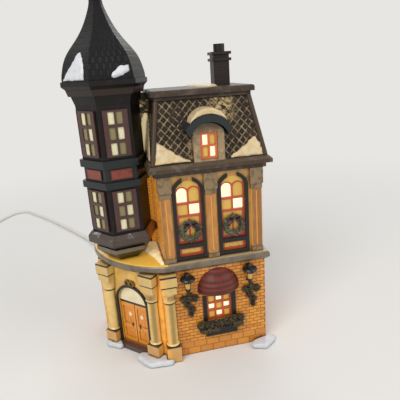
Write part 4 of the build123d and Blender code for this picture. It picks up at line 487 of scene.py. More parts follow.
def lay_bricks(bm, wall, heights, block, draw, gaps=None):
    """Running bond of blocks that stand a little out of a wall.

    The wall is a start, a way along it and a span. gaps(z) lists openings along it.
    """
    bedded = 0.4
    shortest = 0.9
    corner = 0.15
    tone = tone_layer(bm)
    joint = sizes().brick_joint / MM
    proud = sizes().brick_proud / MM
    brick, course = (side / MM for side in block)
    start, along, span = wall
    along = Vector(along)
    out = along.cross(Vector((0, 0, 1)))
    foot, top = heights
    rows = max(1, round((top - foot) / course))
    step = (top - foot) / rows
    for row in range(rows):
        low = foot + row * step + joint / 2
        high = foot + (row + 1) * step - joint / 2
        middle_z = (low + high) / 2
        edge = -brick / 2 if row % 2 else 0.0
        while edge < span:
            runs = [(max(edge + joint / 2, corner), min(edge + brick - joint / 2, span - corner))]
            for left, right in gaps(middle_z) if gaps else ():
                runs = [part for a, b in runs for part in ((a, min(b, left)), (max(a, right), b))]
            shade = draw.random()
            lift = proud * draw.uniform(0.75, 1.2)
            for a, b in runs:
                if b - a > shortest:
                    middle = Vector(start) + along * (a + b) / 2 + Vector((0, 0, middle_z))
                    middle = middle + out * (lift / 2 - bedded / 2)
                    scale = ((b - a) * MM, (high - low) * MM, (lift + bedded) * MM)
                    shape = basis(along, (0, 0, 1), out, middle * MM, scale)
                    shade_block(bmesh.ops.create_cube(bm, size=1.0, matrix=shape), tone, shade)
            edge += brick


def round_fronts(bm, offset):
    """Bevel the outer edges of blocks laid on upright walls."""
    bm.normal_update()
    edges = {e for f in bm.faces if abs(f.normal.z) < 0.5 for e in f.edges}
    bmesh.ops.bevel(
        bm, geom=list(edges), offset=offset * MM, offset_type="OFFSET", segments=1, profile=0.5,
        affect="EDGES", material=-1,
    )


def brick_paint(name, light, dark, strength):
    """Glazed brick whose tone follows each block."""
    paint = Paint(name)
    base = paint.mix(paint.block_tone().ramp(0.35, 1.0) * 0.75, light, dark)
    base = paint.blotch(base, dark, 38, 2.0, 0.62, 0.36, 0.45)
    # The strength makes the bricks glow in their own colour: painted light.
    return paint.finish(
        base, rough=0.38, coat=0.35, mottle=0.12, depth=0.25, height=paint.noise(2.0, 3.0),
        painted_shade="stain", strength=strength, size=4.0, soft=0.15,
    )


def inside_outline(point, outline):
    """Distance to the edge of an outline, positive inside."""
    x, y = point
    nearest = 1e9
    inside = False
    for (ax, ay), (bx, by) in zip(outline, outline[1:] + outline[:1]):
        run = Vector((bx - ax, by - ay))
        way = Vector((x - ax, y - ay))
        share = min(1, max(0, way.dot(run) / run.length_squared))
        nearest = min(nearest, (way - run * share).length)
        if (ay > y) != (by > y) and x < ax + (y - ay) / (by - ay) * (bx - ax):
            inside = not inside
    return nearest if inside else -nearest


def snow_patch(bm, outline, place, host, thick, edge, reach=500.0):
    """Soft-edged snow on a CAD node. place(u, v) is a ray that finds its face within the reach."""
    margin = 2
    step = sizes().snow_grid / MM
    us, vs = zip(*outline)
    low = (min(us) - margin, min(vs) - margin)
    high = (max(us) + margin, max(vs) + margin)
    span = (high[0] - low[0], high[1] - low[1])
    middle = ((low[0] + high[0]) / 2, (low[1] + high[1]) / 2, 0)
    sheet = bmesh.new()
    bmesh.ops.create_grid(
        sheet, x_segments=max(2, round(span[0] / step)), y_segments=max(2, round(span[1] / step)),
        size=0.5, matrix=Matrix.Translation(middle) @ Matrix.Diagonal((*span, 1, 1)),
    )
    lost = []
    for vert in sheet.verts:
        u, v = vert.co.x, vert.co.y
        wobble = noise.noise(Vector((u * 0.35, v * 0.35, thick)))
        depth = inside_outline((u, v), outline) + wobble * 0.8
        origin, way = place(u, v)
        hit = host.ray_cast(origin * MM, way, reach * MM)
        if depth < -1.4 or hit[0] is None:
            lost.append(vert)
            continue
        share = min(1, max(0, depth / edge))
        lumps = 1 + 0.35 * noise.noise(Vector((u, v, 3)) * 0.22)
        rise = thick * math.sqrt(share * (2 - share)) * lumps - 0.35 * min(1, max(0, 1 - depth))
        vert.co = hit[0] + (-way).lerp(hit[1], 0.7).normalized() * rise * MM
    bmesh.ops.delete(sheet, geom=lost, context="VERTS")
    bmesh.ops.recalc_face_normals(sheet, faces=sheet.faces)
    if sum(f.normal.dot(-place(0, 0)[1]) for f in sheet.faces) < 0:
        bmesh.ops.reverse_faces(sheet, faces=sheet.faces)
    bmesh.ops.solidify(sheet, geom=sheet.faces, thickness=0.8 * MM)
    bmesh.ops.recalc_face_normals(sheet, faces=sheet.faces)
    join_mesh(bm, sheet)


def join_mesh(bm, part):
    """Add one bmesh to another."""
    held = mesh_of("held", part)
    bm.from_mesh(held)
    bpy.data.meshes.remove(held)


def turned(bm, middle, steps):
    """Ring that a section makes when it turns about an axis along y."""
    bmesh.ops.spin(
        bm, geom=list(bm.verts) + list(bm.edges), cent=middle, axis=(0, 1, 0), angle=2 * math.pi,
        steps=steps, use_merge=True,
    )
    bmesh.ops.remove_doubles(bm, verts=bm.verts, dist=1e-6)
    bmesh.ops.recalc_face_normals(bm, faces=bm.faces)


def softened(node, voxel, lumps, keep_foot=None):
    """Mesh of a CAD node, remeshed, smoothed and lumped like laid snow."""
    bm = bmesh.new()
    bm.from_mesh(NODES[node].data)
    bmesh.ops.remove_doubles(bm, verts=bm.verts, dist=1e-6)
    held = mesh_of("held", bm)
    carrier = stand("held", held)
    remesh = carrier.modifiers.new("Remesh", "REMESH")
    remesh.mode = "VOXEL"
    remesh.voxel_size = voxel * MM
    smooth = carrier.modifiers.new("Smooth", "SMOOTH")
    smooth.iterations = 10
    smooth.factor = 0.5
    final = carrier.evaluated_get(bpy.context.evaluated_depsgraph_get())
    result = bpy.data.meshes.new_from_object(final)
    bpy.data.objects.remove(carrier)
    bpy.data.meshes.remove(held)
    for vert in result.vertices:
        wave = noise.noise(vert.co / (5 * MM)) + 0.5 * noise.noise(vert.co / (2.2 * MM))
        vert.co += vert.normal * wave * lumps * MM
        if keep_foot is not None:
            vert.co.z = max(vert.co.z, keep_foot * MM)
    result.update()
    return result


def snow_paint(name, tone, strength=0.0):
    """Thick snow glaze with a sparkle of grain."""
    paint = Paint(name)
    base = paint.blotch(tone, (1, 1, 1, 1), 4, 4.0, 0.35, 0.7, 0.16)
    return paint.finish(
        base, rough=0.42, coat=0.2, mottle=0.07, height=paint.noise(2.2, 4.0), depth=0.35,
        painted_shade="sill", strength=strength,
    )


def needles(bm, places, draw):
    """Pointed leaves that stand out of a piece of greenery."""
    tone = tone_layer(bm)
    size = sizes().needle / MM
    for root, way in places:
        lean = Vector([draw.uniform(-1, 1) for _ in range(3)]) * 0.55
        axis = (way + lean).normalized()
        long = size * draw.uniform(0.7, 1.25)
        turn = axis.to_track_quat("Z", "Y").to_matrix().to_4x4()
        made = bmesh.ops.create_cone(
            bm, cap_ends=True, segments=3, radius1=size * 0.2 * MM, radius2=0.02 * MM,
            depth=long * MM, matrix=Matrix.Translation((root + axis * long * 0.4) * MM) @ turn,
        )
        shade_block(made, tone, draw.random())


def evergreen(name, leaf, tip):
    """Finish of needles, whose tone comes from an attribute."""
    paint = Paint(name)
    base = paint.blotch(paint.mix(paint.block_tone(), leaf, tip), "stain", 5, 3.0, 0.5, 0.75, 0.5)
    return paint.finish(base, rough=0.5, mottle=0.2, size=3.0, soft=0.1, **DULL)


class HOUSE_OT_stage(bpy.types.Operator):
    """Camera, floor, lamps and background"""

    bl_idname = "house.stage"
    bl_label = "Stage"
    backdrop = (0.8, 0.79, 0.77, 1.0)
    fade_from, fade_to = 260.0, 900.0
    lamps = (
        ("key", (-0.75, -0.95, 1.15), 15.0, 0.9),
        ("fill", (1.1, -0.7, 0.8), 6.0, 1.0),
        ("rim", (0.3, 1.2, 1.1), 4.5, 0.9),
    )
    aim = Vector((0, 0, 0.14))

    def seen_directly(self, nodes):
        """1 for rays that show the background: from the camera, in gloss and through glass."""
        path = nodes.add("ShaderNodeLightPath").socket.node
        kinds = ("Camera", "Glossy", "Transmission")
        camera, gloss, glass = (Wire(nodes, path.outputs[f"Is {kind} Ray"]) for kind in kinds)
        return camera.upper(gloss).upper(glass)

    def execute(self, context):
        scene = context.scene
        camera = stand("camera", bpy.data.cameras.new("camera"))
        camera.data.lens = 37.845
        camera.data.sensor_width = 36.0
        camera.data.clip_start = 0.01
        camera.location = (-0.049989, -0.355352, 0.245786)
        camera.rotation_euler = [math.radians(a) for a in (72.4728, 3.4915, -13.0258)]
        scene.camera = camera

        bm = bmesh.new()
        bmesh.ops.create_grid(bm, x_segments=2, y_segments=2, size=4.0)
        floor = stand("floor", mesh_of("floor", bm))
        paint = Paint("studio floor")
        paint.feed(paint.shader.inputs["Base Color"], "floor")
        paint.feed(paint.shader.inputs["Roughness"], paint.noise(60) * 0.2 + 0.6)
        paint.feed(paint.shader.inputs["Specular IOR Level"], 0.1)
        away = (paint.x * paint.x + paint.y * paint.y).root()
        fade = away.ramp(self.fade_from, self.fade_to) * self.seen_directly(paint)
        plain_back = paint.add("ShaderNodeEmission", {}, {"Color": self.backdrop, "Strength": 1.0})
        lit = Wire(paint, paint.shader.outputs[0])
        both = paint.add("ShaderNodeMixShader", {}, {0: fade, 1: lit, 2: plain_back})
        paint.feed(paint.tree.nodes["Material Output"].inputs["Surface"], both)
        floor.data.materials.append(paint.material)

        for name, place, power, width in self.lamps:
            data = bpy.data.lights.new(name, "AREA")
            data.energy = power
            data.size = width
            lamp = stand(name, data)
            lamp.location = place
            lamp.rotation_euler = (self.aim - Vector(place)).to_track_quat("-Z", "Y").to_euler()

        world = bpy.data.worlds.new("studio")
        world.use_nodes = True
        world.node_tree.nodes.clear()
        nodes = Nodes(world.node_tree)
        soft = nodes.add("ShaderNodeBackground", {}, {"Color": (1, 1, 1, 1), "Strength": 0.5})
        shown = nodes.add("ShaderNodeBackground", {}, {"Color": self.backdrop, "Strength": 1.0})
        seen = self.seen_directly(nodes)
        both = nodes.add("ShaderNodeMixShader", {}, {0: seen, 1: soft, 2: shown})
        out = world.node_tree.nodes.new("ShaderNodeOutputWorld")
        world.node_tree.links.new(both.socket, out.inputs["Surface"])
        scene.world = world
        scene.view_settings.view_transform = "Standard"
        return {"FINISHED"}


class HOUSE_OT_cord(bpy.types.Operator):
    """Cord from the lamp through its coil and switch to the plug"""

    bl_idname = "house.cord"
    bl_label = "Cord"
    points_per_half = 8

    def coil(self):
        """Control points of the coil's half turns, each pair of them a full turn."""
        points = []
        place = Vector(COIL_START)
        side = 1
        for turn, radius in enumerate(COIL_RADII):
            climb = COIL_CLIMB if turn == COIL_CLIMB_TURN else 0.0
            middle = place + Vector((radius * side, 0, 0))
            reach = radius / math.cos(math.pi / 2 / self.points_per_half)
            for k in range(self.points_per_half):
                share = (k + 0.5) / self.points_per_half
                angle = math.pi * share
                along, across = -math.cos(angle) * reach * side, math.sin(angle) * reach * side
                points.append(middle + Vector((along, across, climb * share)))
            place = place + Vector((2 * radius * side, 0, climb))
            side = -side
        return points

    def execute(self, context):
        lead = [Vector(p) for p in LEAD_ROUTE]
        points = lead + self.coil() + [Vector(p) for p in MID_ROUTE + TAIL_ROUTE]
        curve = bpy.data.curves.new("cord", "CURVE")
        curve.dimensions = "3D"
        curve.bevel_depth = sizes().cord / 2
        curve.bevel_resolution = 4
        curve.resolution_u = 5
        curve.use_fill_caps = True
        spline = curve.splines.new("NURBS")
        spline.points.add(len(points) - 1)
        for control, place in zip(spline.points, points):
            control.co = (*(place * MM), 1.0)
        spline.order_u = 3
        spline.use_endpoint_u = True
        spline.use_smooth = True
        cord = stand("cord", curve)
        paint = Paint("cord sheath")
        base = paint.mix(paint.noise(30) * 0.5, "cord", "plastic")
        paint.finish(base, rough=0.46, coat=0.05, mottle=0.05, depth=0.1)
        curve.materials.append(paint.material)
        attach(cord, "lamp")
        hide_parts("cord_lead", "cord_coil", "cord_mid", "cord_tail")
        return {"FINISHED"}


class HOUSE_OT_walls(bpy.types.Operator):
    """Mortar and plaster of the storeys, with their brickwork and plinth stones"""

    bl_idname = "house.walls"
    bl_label = "Walls"
    ground_room = ((-67.6, -34.7, 2.9), (67.1, 44.1, 84.1))
    ground_corner = -54.95     # x + y of the entrance wall's inner face
    upper_room = ((-11.6, -32.1, 91.0), (66.6, 36.1, 166.0))

    def ground(self):
        paint = Paint("ground wall")
        smooth = ((paint.nx < -0.5) + (paint.x < BRICK_START)) * (paint.ny < -0.5)
        smooth = smooth.lower(1.0)
        base = paint.mix(smooth, "mortar", "entrance")
        # Painted light: the wall between the two front columns is painted ember.
        base = paint.mix(paint.x.band(-25.5, -19.5, 1.5) * smooth, base, "ember")
        base = paint.blotch(base, "stain", 16, 4.0, 0.6, 0.4, 0.3)
        inside = paint.within(*self.ground_room) * ((paint.x + paint.y) > self.ground_corner)
        glow = paint.mix(inside, paint.mix(0.82, base, DARK), "light")
        dress(paint.finish(base, painted_shade="stain", glow=glow, strength=ROOM_LIGHT), "ground_storey")

    def upper(self):
        paint = Paint("upper wall")
        front = paint.ny < -0.5
        base = paint.mix(front, "mortar", "plaster")
        worn = paint.noise(11, 4.0).ramp(0.56, 0.4) * 0.55
        base = paint.mix(worn * front, base, "pilaster")
        base = paint.mix(paint.z.ramp(150, 165) * 0.35 * front, base, "capital")
        scroll = paint.noise(5.5, 4.0).ramp(0.52, 0.62) * paint.z.band(146, 163, 3) * front
        base = paint.mix(scroll * 0.6, base, "stain")
        inside = paint.within(*self.upper_room)
        glow = paint.mix(inside, paint.mix(0.8, base, DARK), "light")
        dress(paint.finish(base, painted_shade="stain", glow=glow, strength=ROOM_LIGHT), "upper_storey")

    def shop_window(self, z):
        middle = SHOP_X - BRICK_START
        is_open = SHOP_OPENING[0] < z < SHOP_OPENING[1]
        return [(middle - SHOP_HALF, middle + SHOP_HALF)] if is_open else []

    def lamp_hole(self, z):
        half = math.sqrt(max(0.0, LAMP_CLEAR**2 - (z - LAMP_Z) ** 2))
        return [(GROUND_RIGHT - half, GROUND_RIGHT + half)] if half else []

    def bricks(self):
        size = sizes()
        draw = random.Random(size.seed)
        plinth_top = 2 * size.stone_course / MM
        deep = GROUND_BACK - GROUND_FRONT
        wide = GROUND_RIGHT - GROUND_LEFT
        shop = GROUND_RIGHT - BRICK_START
        walls = (
            ((BRICK_START, GROUND_FRONT, 0), (1, 0, 0), shop, self.shop_window),
            ((GROUND_RIGHT, GROUND_FRONT, 0), (0, 1, 0), deep, None),
            ((GROUND_RIGHT, GROUND_BACK, 0), (-1, 0, 0), wide, self.lamp_hole),
            ((GROUND_LEFT, GROUND_BACK, 0), (0, -1, 0), LEFT_WALL, None),
        )
        bricks, stones = bmesh.new(), bmesh.new()
        for *wall, gaps in walls:
            lay_bricks(bricks, wall, (plinth_top, BRICK_TOP), (size.brick, size.course), draw, gaps)
            lay_bricks(stones, wall, (0.4, plinth_top), (size.stone, size.stone_course), draw)
        round_fronts(bricks, 0.13)
        round_fronts(stones, 0.3)
        paint = brick_paint("ground brick", "brick", "brick_dark", 0.22)
        piece("ground_bricks", bricks, paint, smooth=False)
        paint = brick_paint("plinth stone", "plinth", "brick_dark", 0.15)
        piece("plinth_stones", stones, paint, smooth=False)

        deep = UPPER_BACK - UPPER_FRONT
        right = ((UPPER_RIGHT, UPPER_FRONT, 0), (0, 1, 0), deep)
        back = ((UPPER_RIGHT, UPPER_BACK, 0), (-1, 0, 0), UPPER_RIGHT - UPPER_LEFT)
        left = ((UPPER_LEFT, UPPER_BACK, 0), (0, -1, 0), deep)
        heights = (FINE_BRICK_FOOT, FINE_BRICK_TOP)
        groups = (("upper_bricks", (right, back), 0.2), ("lit_bricks", (left,), 0.5))
        for name, sides, strength in groups:
            fine = bmesh.new()
            for wall in sides:
                lay_bricks(fine, wall, heights, (size.fine_brick, size.fine_course), draw)
            round_fronts(fine, 0.12)
            paint = brick_paint(name.replace("_", " "), "brick", "pilaster", strength)
            piece(name, fine, paint, smooth=False)

    def ledge(self):
        paint = Paint("ledge")
        top = paint.nz.ramp(0.7, 0.95)
        # Painted light: the top over the entrance is painted lit and glows.
        bay = (paint.x < BRICK_START) * top
        base = paint.blotch("ledge", "eave", 7, 4.0, 0.4, 0.65, 0.5)
        base = paint.mix(top * 0.65, base, "warm_snow")
        base = paint.mix(bay, base, "ledge_top")
        glow = paint.lit(bay, "ledge_top")
        dress(paint.finish(base, painted_shade="stain", glow=glow, strength=0.3), "ledge")

    def pilasters(self):
        paint = Paint("pilaster")
        head = (paint.z > 147.8).upper(paint.z < 95.7)
        stretched = paint.join(paint.x * 3 * MM, paint.y * 3 * MM, paint.z * 0.5 * MM)
        streak = paint.noise(6, 3.0, stretched)
        base = paint.mix(streak.ramp(0.35, 0.75) * 0.6, "pilaster", "plaster")
        # Painted shade: side faces are darker, the right pilaster darker away from the light, and
        # the left pilaster darker on its left.
        base = paint.mix((abs(paint.nx) > 0.5) * 0.45, base, "stain")
        base = paint.mix(paint.x.ramp(50, 68) * 0.45, base, "stain")
        base = paint.mix(paint.x.ramp(-11.0, -14.0) * 0.35, base, "stain")
        # Painted light: the flutes are painted ember and glow.
        flute = (paint.y > (UPPER_FRONT - 2.1)) * paint.z.band(96, 147, 0.3)
        base = paint.mix(flute * 0.7, base, "ember")
        base = paint.mix(head, base, paint.blotch("capital", "stain", 4.5, 4.0, 0.48, 0.62, 0.6))
        glow = paint.lit(flute, "ember")
        dress(paint.finish(base, painted_shade="stain", glow=glow, strength=0.5), "pilasters")

    def execute(self, context):
        self.ground()
        self.upper()
        self.bricks()
        self.ledge()
        self.pilasters()
        return {"FINISHED"}


class HOUSE_OT_roof(bpy.types.Operator):
    """Eave, slates, roof cap, chimney and dormer"""

    bl_idname = "house.roof"
    bl_label = "Roof"
    foot = (-18.3, 73.3, -38.8, 42.8)
    head = (-10.1, 65.1, -24.0, 28.0)
    link_end = -31.0
    link_front, link_back = 12.0, 27.0
    dormer_x, dormer_half, dormer_top = 26.6, 11.5, 204
    tower_clear = 28.5
    eave_room = ((-14.4, -34.9, 165.4), (69.4, 38.9, 175.1))
    opening = ((19.5, -37.2, 176.7), (33.7, -20.0, 197.9))
    chimney_brick, chimney_course = 4.8, 2.6

    def slopes(self):
        """Two foot and two head corners of each slope, then of the stretch beside the tower."""
        rings = []
        for left, right, front, back in (self.foot, self.head):
            rings.append(((left, front), (right, front), (right, back), (left, back)))
        for i in range(4):
            yield [ring[k % 4] for ring in rings for k in (i, i + 1)]
        ends = (self.link_end, self.head[0])
        yield [(x, self.link_front) for x in ends] * 2
        yield [(x, self.link_back) for x in reversed(ends)] * 2

    def covered(self, number, spot):
        """Whether the dormer, the tower or the main roof stands where a slate would lie."""
        beside = abs(spot.x - self.dormer_x) < self.dormer_half
        at_dormer = number == 0 and beside and spot.z < self.dormer_top
        in_tower = Vector((spot.x - TOWER_X, spot.y - TOWER_Y)).length < self.tower_clear
        side = self.foot[0] + (spot.z - ROOF_FOOT) * ROOF_LEAN[0]
        return at_dormer or in_tower or (number > 3 and spot.x > side - 1.5)

    def slates(self):
        size = sizes()
        wide = size.slate_width / MM
        high = size.slate_height / MM
        draw = random.Random(size.seed + 1)
        bm = bmesh.new()
        tone = tone_layer(bm)
        for number, corners in enumerate(self.slopes()):
            a, b = (Vector((*p, ROOF_FOOT)) for p in corners[:2])
            c, d = (Vector((*p, ROOF_HEAD)) for p in corners[2:])
            along = (b - a).normalized()
            rise = (c + d - a - b) / 2
            slope = (rise - along * rise.dot(along)).normalized()
            out = along.cross(slope)
            tall = rise.length
            shrink = (c - a).dot(along)
            for row in range(int(tall / (high / 2)) + 1):
                v = row * high / 2
                if v > tall - 0.5:
                    continue
                left = shrink * v / tall + 1.2
                right = (b - a).length - left
                column = -0.5 * (row % 2)
                while column * wide < right:
                    u = column * wide
                    column += 1
                    spot = a + along * u + slope * v
                    if u < left or self.covered(number, spot):
                        continue
                    spot = (spot + out * 0.1) * MM
                    shape = basis(along, slope, out, spot, (wide / 2, high / 2, 1))
                    made = bmesh.ops.create_cone(
                        bm, cap_ends=True, segments=4, radius1=0.83 * MM, radius2=0.73 * MM,
                        depth=size.slate_thick,
                        matrix=shape @ Matrix.Diagonal((1, 1, draw.uniform(0.75, 1.15), 1)),
                    )
                    shade_block(made, tone, draw.random())
        paint = Paint("slate")
        base = paint.mix(paint.block_tone().ramp(0.55, 1.0) * 0.4, "slate", "eave")
        base = paint.mix(self.dusted(paint), base, "warm_snow")
        glow = paint.lit(self.link(paint), base)
        paint.finish(
            base, rough=0.42, mottle=0.2, size=3.0, soft=0.15, glow=glow, strength=0.6, **ROOFING
        )
        piece("mansard_slates", bm, paint, smooth=False)

    def link(self, paint):
        """The short stretch of roof that meets the tower."""
        return (paint.x < -11.5) * (paint.y > 10.5) * (paint.ny < -0.9)

    def dusted(self, paint):
        """Where snow is sponged thinly on the front slope."""
        front = paint.ny < -0.5
        sponge = paint.noise(3.2, 5.0).ramp(0.4, 0.62)
        patch = paint.x.band(33, 51, 5) * paint.z.ramp(202, 212) * sponge
        strip = paint.x.band(11.5, 15.5, 2.2) * paint.z.band(178, 204, 4) * sponge
        return patch.upper(strip).upper(self.link(paint) * sponge) * front * 0.85

    def mansard(self):
        paint = Paint("mansard")
        base = paint.mix(paint.noise(3, 4.0).ramp(0.35, 0.65), "joint", "eave")
        base = paint.mix(self.dusted(paint), base, "warm_snow")
        outs = []
        for place, middle, half, lean in zip((paint.x, paint.y), ROOF_MIDDLE, ROOF_HALF, ROOF_LEAN):
            outs.append(abs(place - middle) - (half - (paint.z - ROOF_FOOT) * lean))
        inside = (outs[0] < -3.9) * (outs[1] < -3.9)
        glow = paint.lit(inside.upper(paint.within(*self.opening)))
        base = paint.mix((outs[0] > -1.9) * (outs[1] > -1.9), base, "eave")
        dress(paint.finish(base, rough=0.42, glow=glow, strength=ROOM_LIGHT, **ROOFING), "mansard")

    def chimney(self):
        paint = Paint("chimney brick")
        row = (paint.z / self.chimney_course).floor()
        along = paint.across(49.0, 0.0) + row.odd() * (self.chimney_brick / 2)
        joint = paint.z.fold(self.chimney_course) < 0.25
        upright = along.fold(self.chimney_brick) < 0.22
        lines = joint.upper(upright) * (abs(paint.nz) < 0.5)
        tone = paint.chance((along / self.chimney_brick).floor(), row)
        base = paint.mix(tone * 0.6, "chimney", "post")
        base = paint.mix(lines * 0.8, base, "black")
        dress(paint.finish(base, height=1 - lines, depth=0.35, rough=0.5, **DULL), "chimney_stack")
        dress(plain("chimney pot", "post", rough=0.45, coat=0.1, shine=0.3), "chimney_pot")

    def execute(self, context):
        eave = Paint("eave")
        base = eave.blotch("eave", "ledge", 5, 5.0, 0.45, 0.75, 0.6)
        base = eave.mix(eave.nz.ramp(0.6, 0.95) * 0.3, base, "joint")
        glow = eave.lit(eave.within(*self.eave_room))
        dress(eave.finish(base, glow=glow, strength=ROOM_LIGHT, **DULL), "eave")
        self.mansard()
        self.slates()
        cap = Paint("roof cap")
        base = cap.blotch("cap", "ledge", 7, 5.0, 0.45, 0.75, 0.5)
        dress(cap.finish(base, rough=0.45, **ROOFING), "roof_cap")
        self.chimney()
        walls = Paint("dormer wall")
        base = walls.blotch("dormer", "ledge", 5, 4.0, 0.42, 0.66, 0.8)
        base = walls.blotch(base, "warm_snow", 3, 4.0, 0.55, 0.7, 0.5)
        # Painted shade under the hood: the walls darken towards their top.
        base = walls.mix(walls.z.ramp(194, 203) * 0.75, base, "stain")
        glow = walls.lit(walls.within(*self.opening))
        dress(walls.finish(base, painted_shade="stain", glow=glow, strength=ROOM_LIGHT), "dormer_body")
        dress(plain("dormer hood", "hood", coat=0.2, shine=0.35), "dormer_hood")
        return {"FINISHED"}


class HOUSE_OT_tower(bpy.types.Operator):
    """Tower walls, windows, mouldings and dome"""

    bl_idname = "house.tower"
    bl_label = "Tower"
    panel_foot, panel_top = 164.2, 173.2
    scale_height = 4.6
    scale_turn = math.radians(10)

    def sashes(self, node, middle_z, pitch):
        paint = Paint(node)
        out = paint.outward(TOWER_X, TOWER_Y)
        recess = (out < 23.46) * (out > 22.5)
        column = paint.across(TOWER_X, TOWER_Y) > 0
        row = ((paint.z - middle_z) / pitch + 1.5).floor()
        # Painted light: alternate panes are painted bright and glow, as if lit from inside; the
        # others stay dull.
        pane = paint.mix((column + row).odd(), "pane", "dull_pane")
        pane = paint.blotch(pane, "dull_pane", 2.5, 3.0, 0.5, 0.8, 0.35)
        base = paint.blotch("tower_sash", "post", 4, 4.0, 0.5, 0.75, 0.7)
        base = paint.mix(recess, base, pane)
        glow = paint.lit(recess, pane)
        paint.finish(base, painted_shade="black", glow=glow, strength=0.15, mottle=0.08, soft=0.2)
        dress(paint, node)

    def walls(self):
        size = sizes()
        brick, course = size.fine_brick / MM, size.fine_course / MM
        paint = Paint("tower wall")
        base = paint.blotch("post", "tower_sash", 5, 4.0, 0.5, 0.8, 0.5)
        link = (abs(paint.ny) > 0.995) * (paint.y > 9.0) * paint.z.band(91.0, 157.6, 0.1)
        along = paint.x + (paint.z / course).floor().odd() * (brick / 2)
        joints = (paint.z.fold(course) < 0.22).upper(along.fold(brick) < 0.22)
        base = paint.mix(link, base, paint.mix(joints * 0.6, "brick", "stain"))
        glow = paint.lit(link * (paint.ny < 0), base)
        paint.finish(base, glow=glow, strength=0.5, **MATT)
        dress(paint, "tower_lower_storey", "tower_upper_storey")

    def band(self):
        paint = Paint("tower band")
        across = abs(paint.across(TOWER_X, TOWER_Y))
        proud = paint.outward(TOWER_X, TOWER_Y) > 22.8
        panel = proud * paint.z.band(self.panel_foot, self.panel_top, 0.1) * (across < 8.8)
        rim = ((across > 7.9) + (paint.z < 165.5) + (paint.z > 172.0)) > 0.5
        tone = paint.blotch("panel", "tower_sash", 3, 4.0, 0.45, 0.75, 0.6)
        base = paint.mix(paint.noise(5, 4.0) * 0.4, "band", "hood")
        base = paint.mix(panel, base, tone)
        base = paint.mix(panel * rim * 0.6, base, "tower_sash")
        dress(paint.finish(base, rough=0.36, **SATIN), "tower_band")

    def dome(self):
        paint = Paint("dome glaze")
        heading = (paint.y - TOWER_Y).heading(paint.x - TOWER_X) / self.scale_turn
        row = (paint.z / self.scale_height).floor()
        scale = ((heading + row.odd() * 0.5).fold(1.0) * 2).lower(1.0)
        drop = paint.z.fold(self.scale_height) / (self.scale_height / 2)
        base = paint.blotch("dome", "band", 9, 4.0, 0.45, 0.8, 0.6)
        lap = scale.ramp(0.0, 0.25) * drop.ramp(0.0, 0.3)
        paint.finish(base, rough=0.42, coat=0.05, mottle=0.2, height=lap, depth=0.18, shine=0.2)
        dress(paint, "dome")
        dress(plain("dome finial", "dome", rough=0.42, coat=0.05, shine=0.2), "dome_finial")

    def execute(self, context):
        self.walls()
        self.sashes("tower_lower_sashes", 138.25, 11.4)
        self.sashes("tower_upper_sashes", 201.0, 11.9)
        self.band()

        sill = Paint("tower sill")
        base = sill.mix(sill.z.ramp(110.5, 108.0), "sill", "band")
        base = sill.blotch(base, "tower_sash", 6, 3.0, 0.45, 0.7, 0.35)
        snowy = sill.noise(7, 4.0).ramp(0.5, 0.68) * sill.nz.ramp(0.15, 0.5) * sill.x.ramp(-34, -44)
        base = sill.mix(snowy * 0.55, base, "cool_snow")
        # Painted shade: the right end, beside the brick wall, is painted darker brick-brown.
        base = sill.mix(sill.x.ramp(-28, -22) * 0.6, base, "brick_dark")
        dress(sill.finish(base, **SATIN), "tower_sill")

        corbel = Paint("tower corbel")
        base = corbel.mix(corbel.z.ramp(100.2, 100.8), "post", "ledge")
        base = corbel.blotch(base, "eave", 6, 4.0, 0.5, 0.7, 0.5)
        dress(corbel.finish(base, **SATIN), "tower_corbel")

        cornice = Paint("tower cornice")
        base = cornice.mix(cornice.z.band(230.2, 234.6, 0.3) * 0.4, "post", "eave")
        base = cornice.blotch(base, "tower_sash", 5, 4.0, 0.5, 0.8, 0.3)
        dress(cornice.finish(base, **MATT), "tower_cornice")
        self.dome()
        return {"FINISHED"}


class HOUSE_OT_windows(bpy.types.Operator):
    """Arched windows and the dormer sash"""

    bl_idname = "house.windows"
    bl_label = "Windows"

    def execute(self, context):
        paint = Paint("arched sash")
        fold = paint.x - ARCH_MIDDLE
        across = fold - fold.sign() * ARCH_HALF
        front = paint.ny < -0.5
        recess = (paint.y > -34.8) * front
        lobe = abs(across) - 4.6
        crown = (paint.z - 155.6 + lobe * lobe * 0.104).ramp(-0.3, 0.3) * front
        rim = (abs(across) > 8.9) * (paint.z > 152)
        base = paint.mix(paint.noise(3, 4.0) * 0.5, "sash", "panel")
        amber = paint.blotch("amber", "plaster", 3.5, 4.0, 0.45, 0.7, 0.45)
        leaves = paint.noise(2.6, 3.0).ramp(0.54, 0.62) * (paint.z < 104.5) * (abs(across) < 5.5)
        amber = paint.mix(leaves * 0.5, amber, "stain")
        mullion = (abs(across) < 0.9) * paint.z.band(108, 128, 0.3)
        base = paint.mix((recess + crown).lower(1.0) * (1 - rim) * (1 - mullion), base, amber)
        glow = paint.mix(paint.ny > 0.5, base, "light")
        dress(paint.finish(base, painted_shade="stain", glow=glow, strength=0.25, soft=0.2), "arch_sashes")

        small = Paint("dormer sash")
        recess = (small.y > -39.3) * (small.ny < -0.5)
        base = small.mix(small.noise(3, 4.0) * 0.5, "sash", "door")
        base = small.mix(recess, base, "amber")
        # The dormer sash glows faintly in its own colour: painted light.
        dress(small.finish(base, painted_shade="stain", strength=0.25, soft=0.2), "dormer_sash")

        iron = Paint("black iron")
        scroll = (iron.x < -20.0) * (iron.z > 65.6)
        base = iron.mix(scroll * 0.85, "black", "bronze")
        iron.finish(base, rough=0.38, coat=0.15, mottle=0.3, painted_shade="black", size=4.0, shine=0.35)
        dress(iron, "arch_frames", "shutters", "flower_box", "wall_lanterns", "entrance_arch")
        return {"FINISHED"}


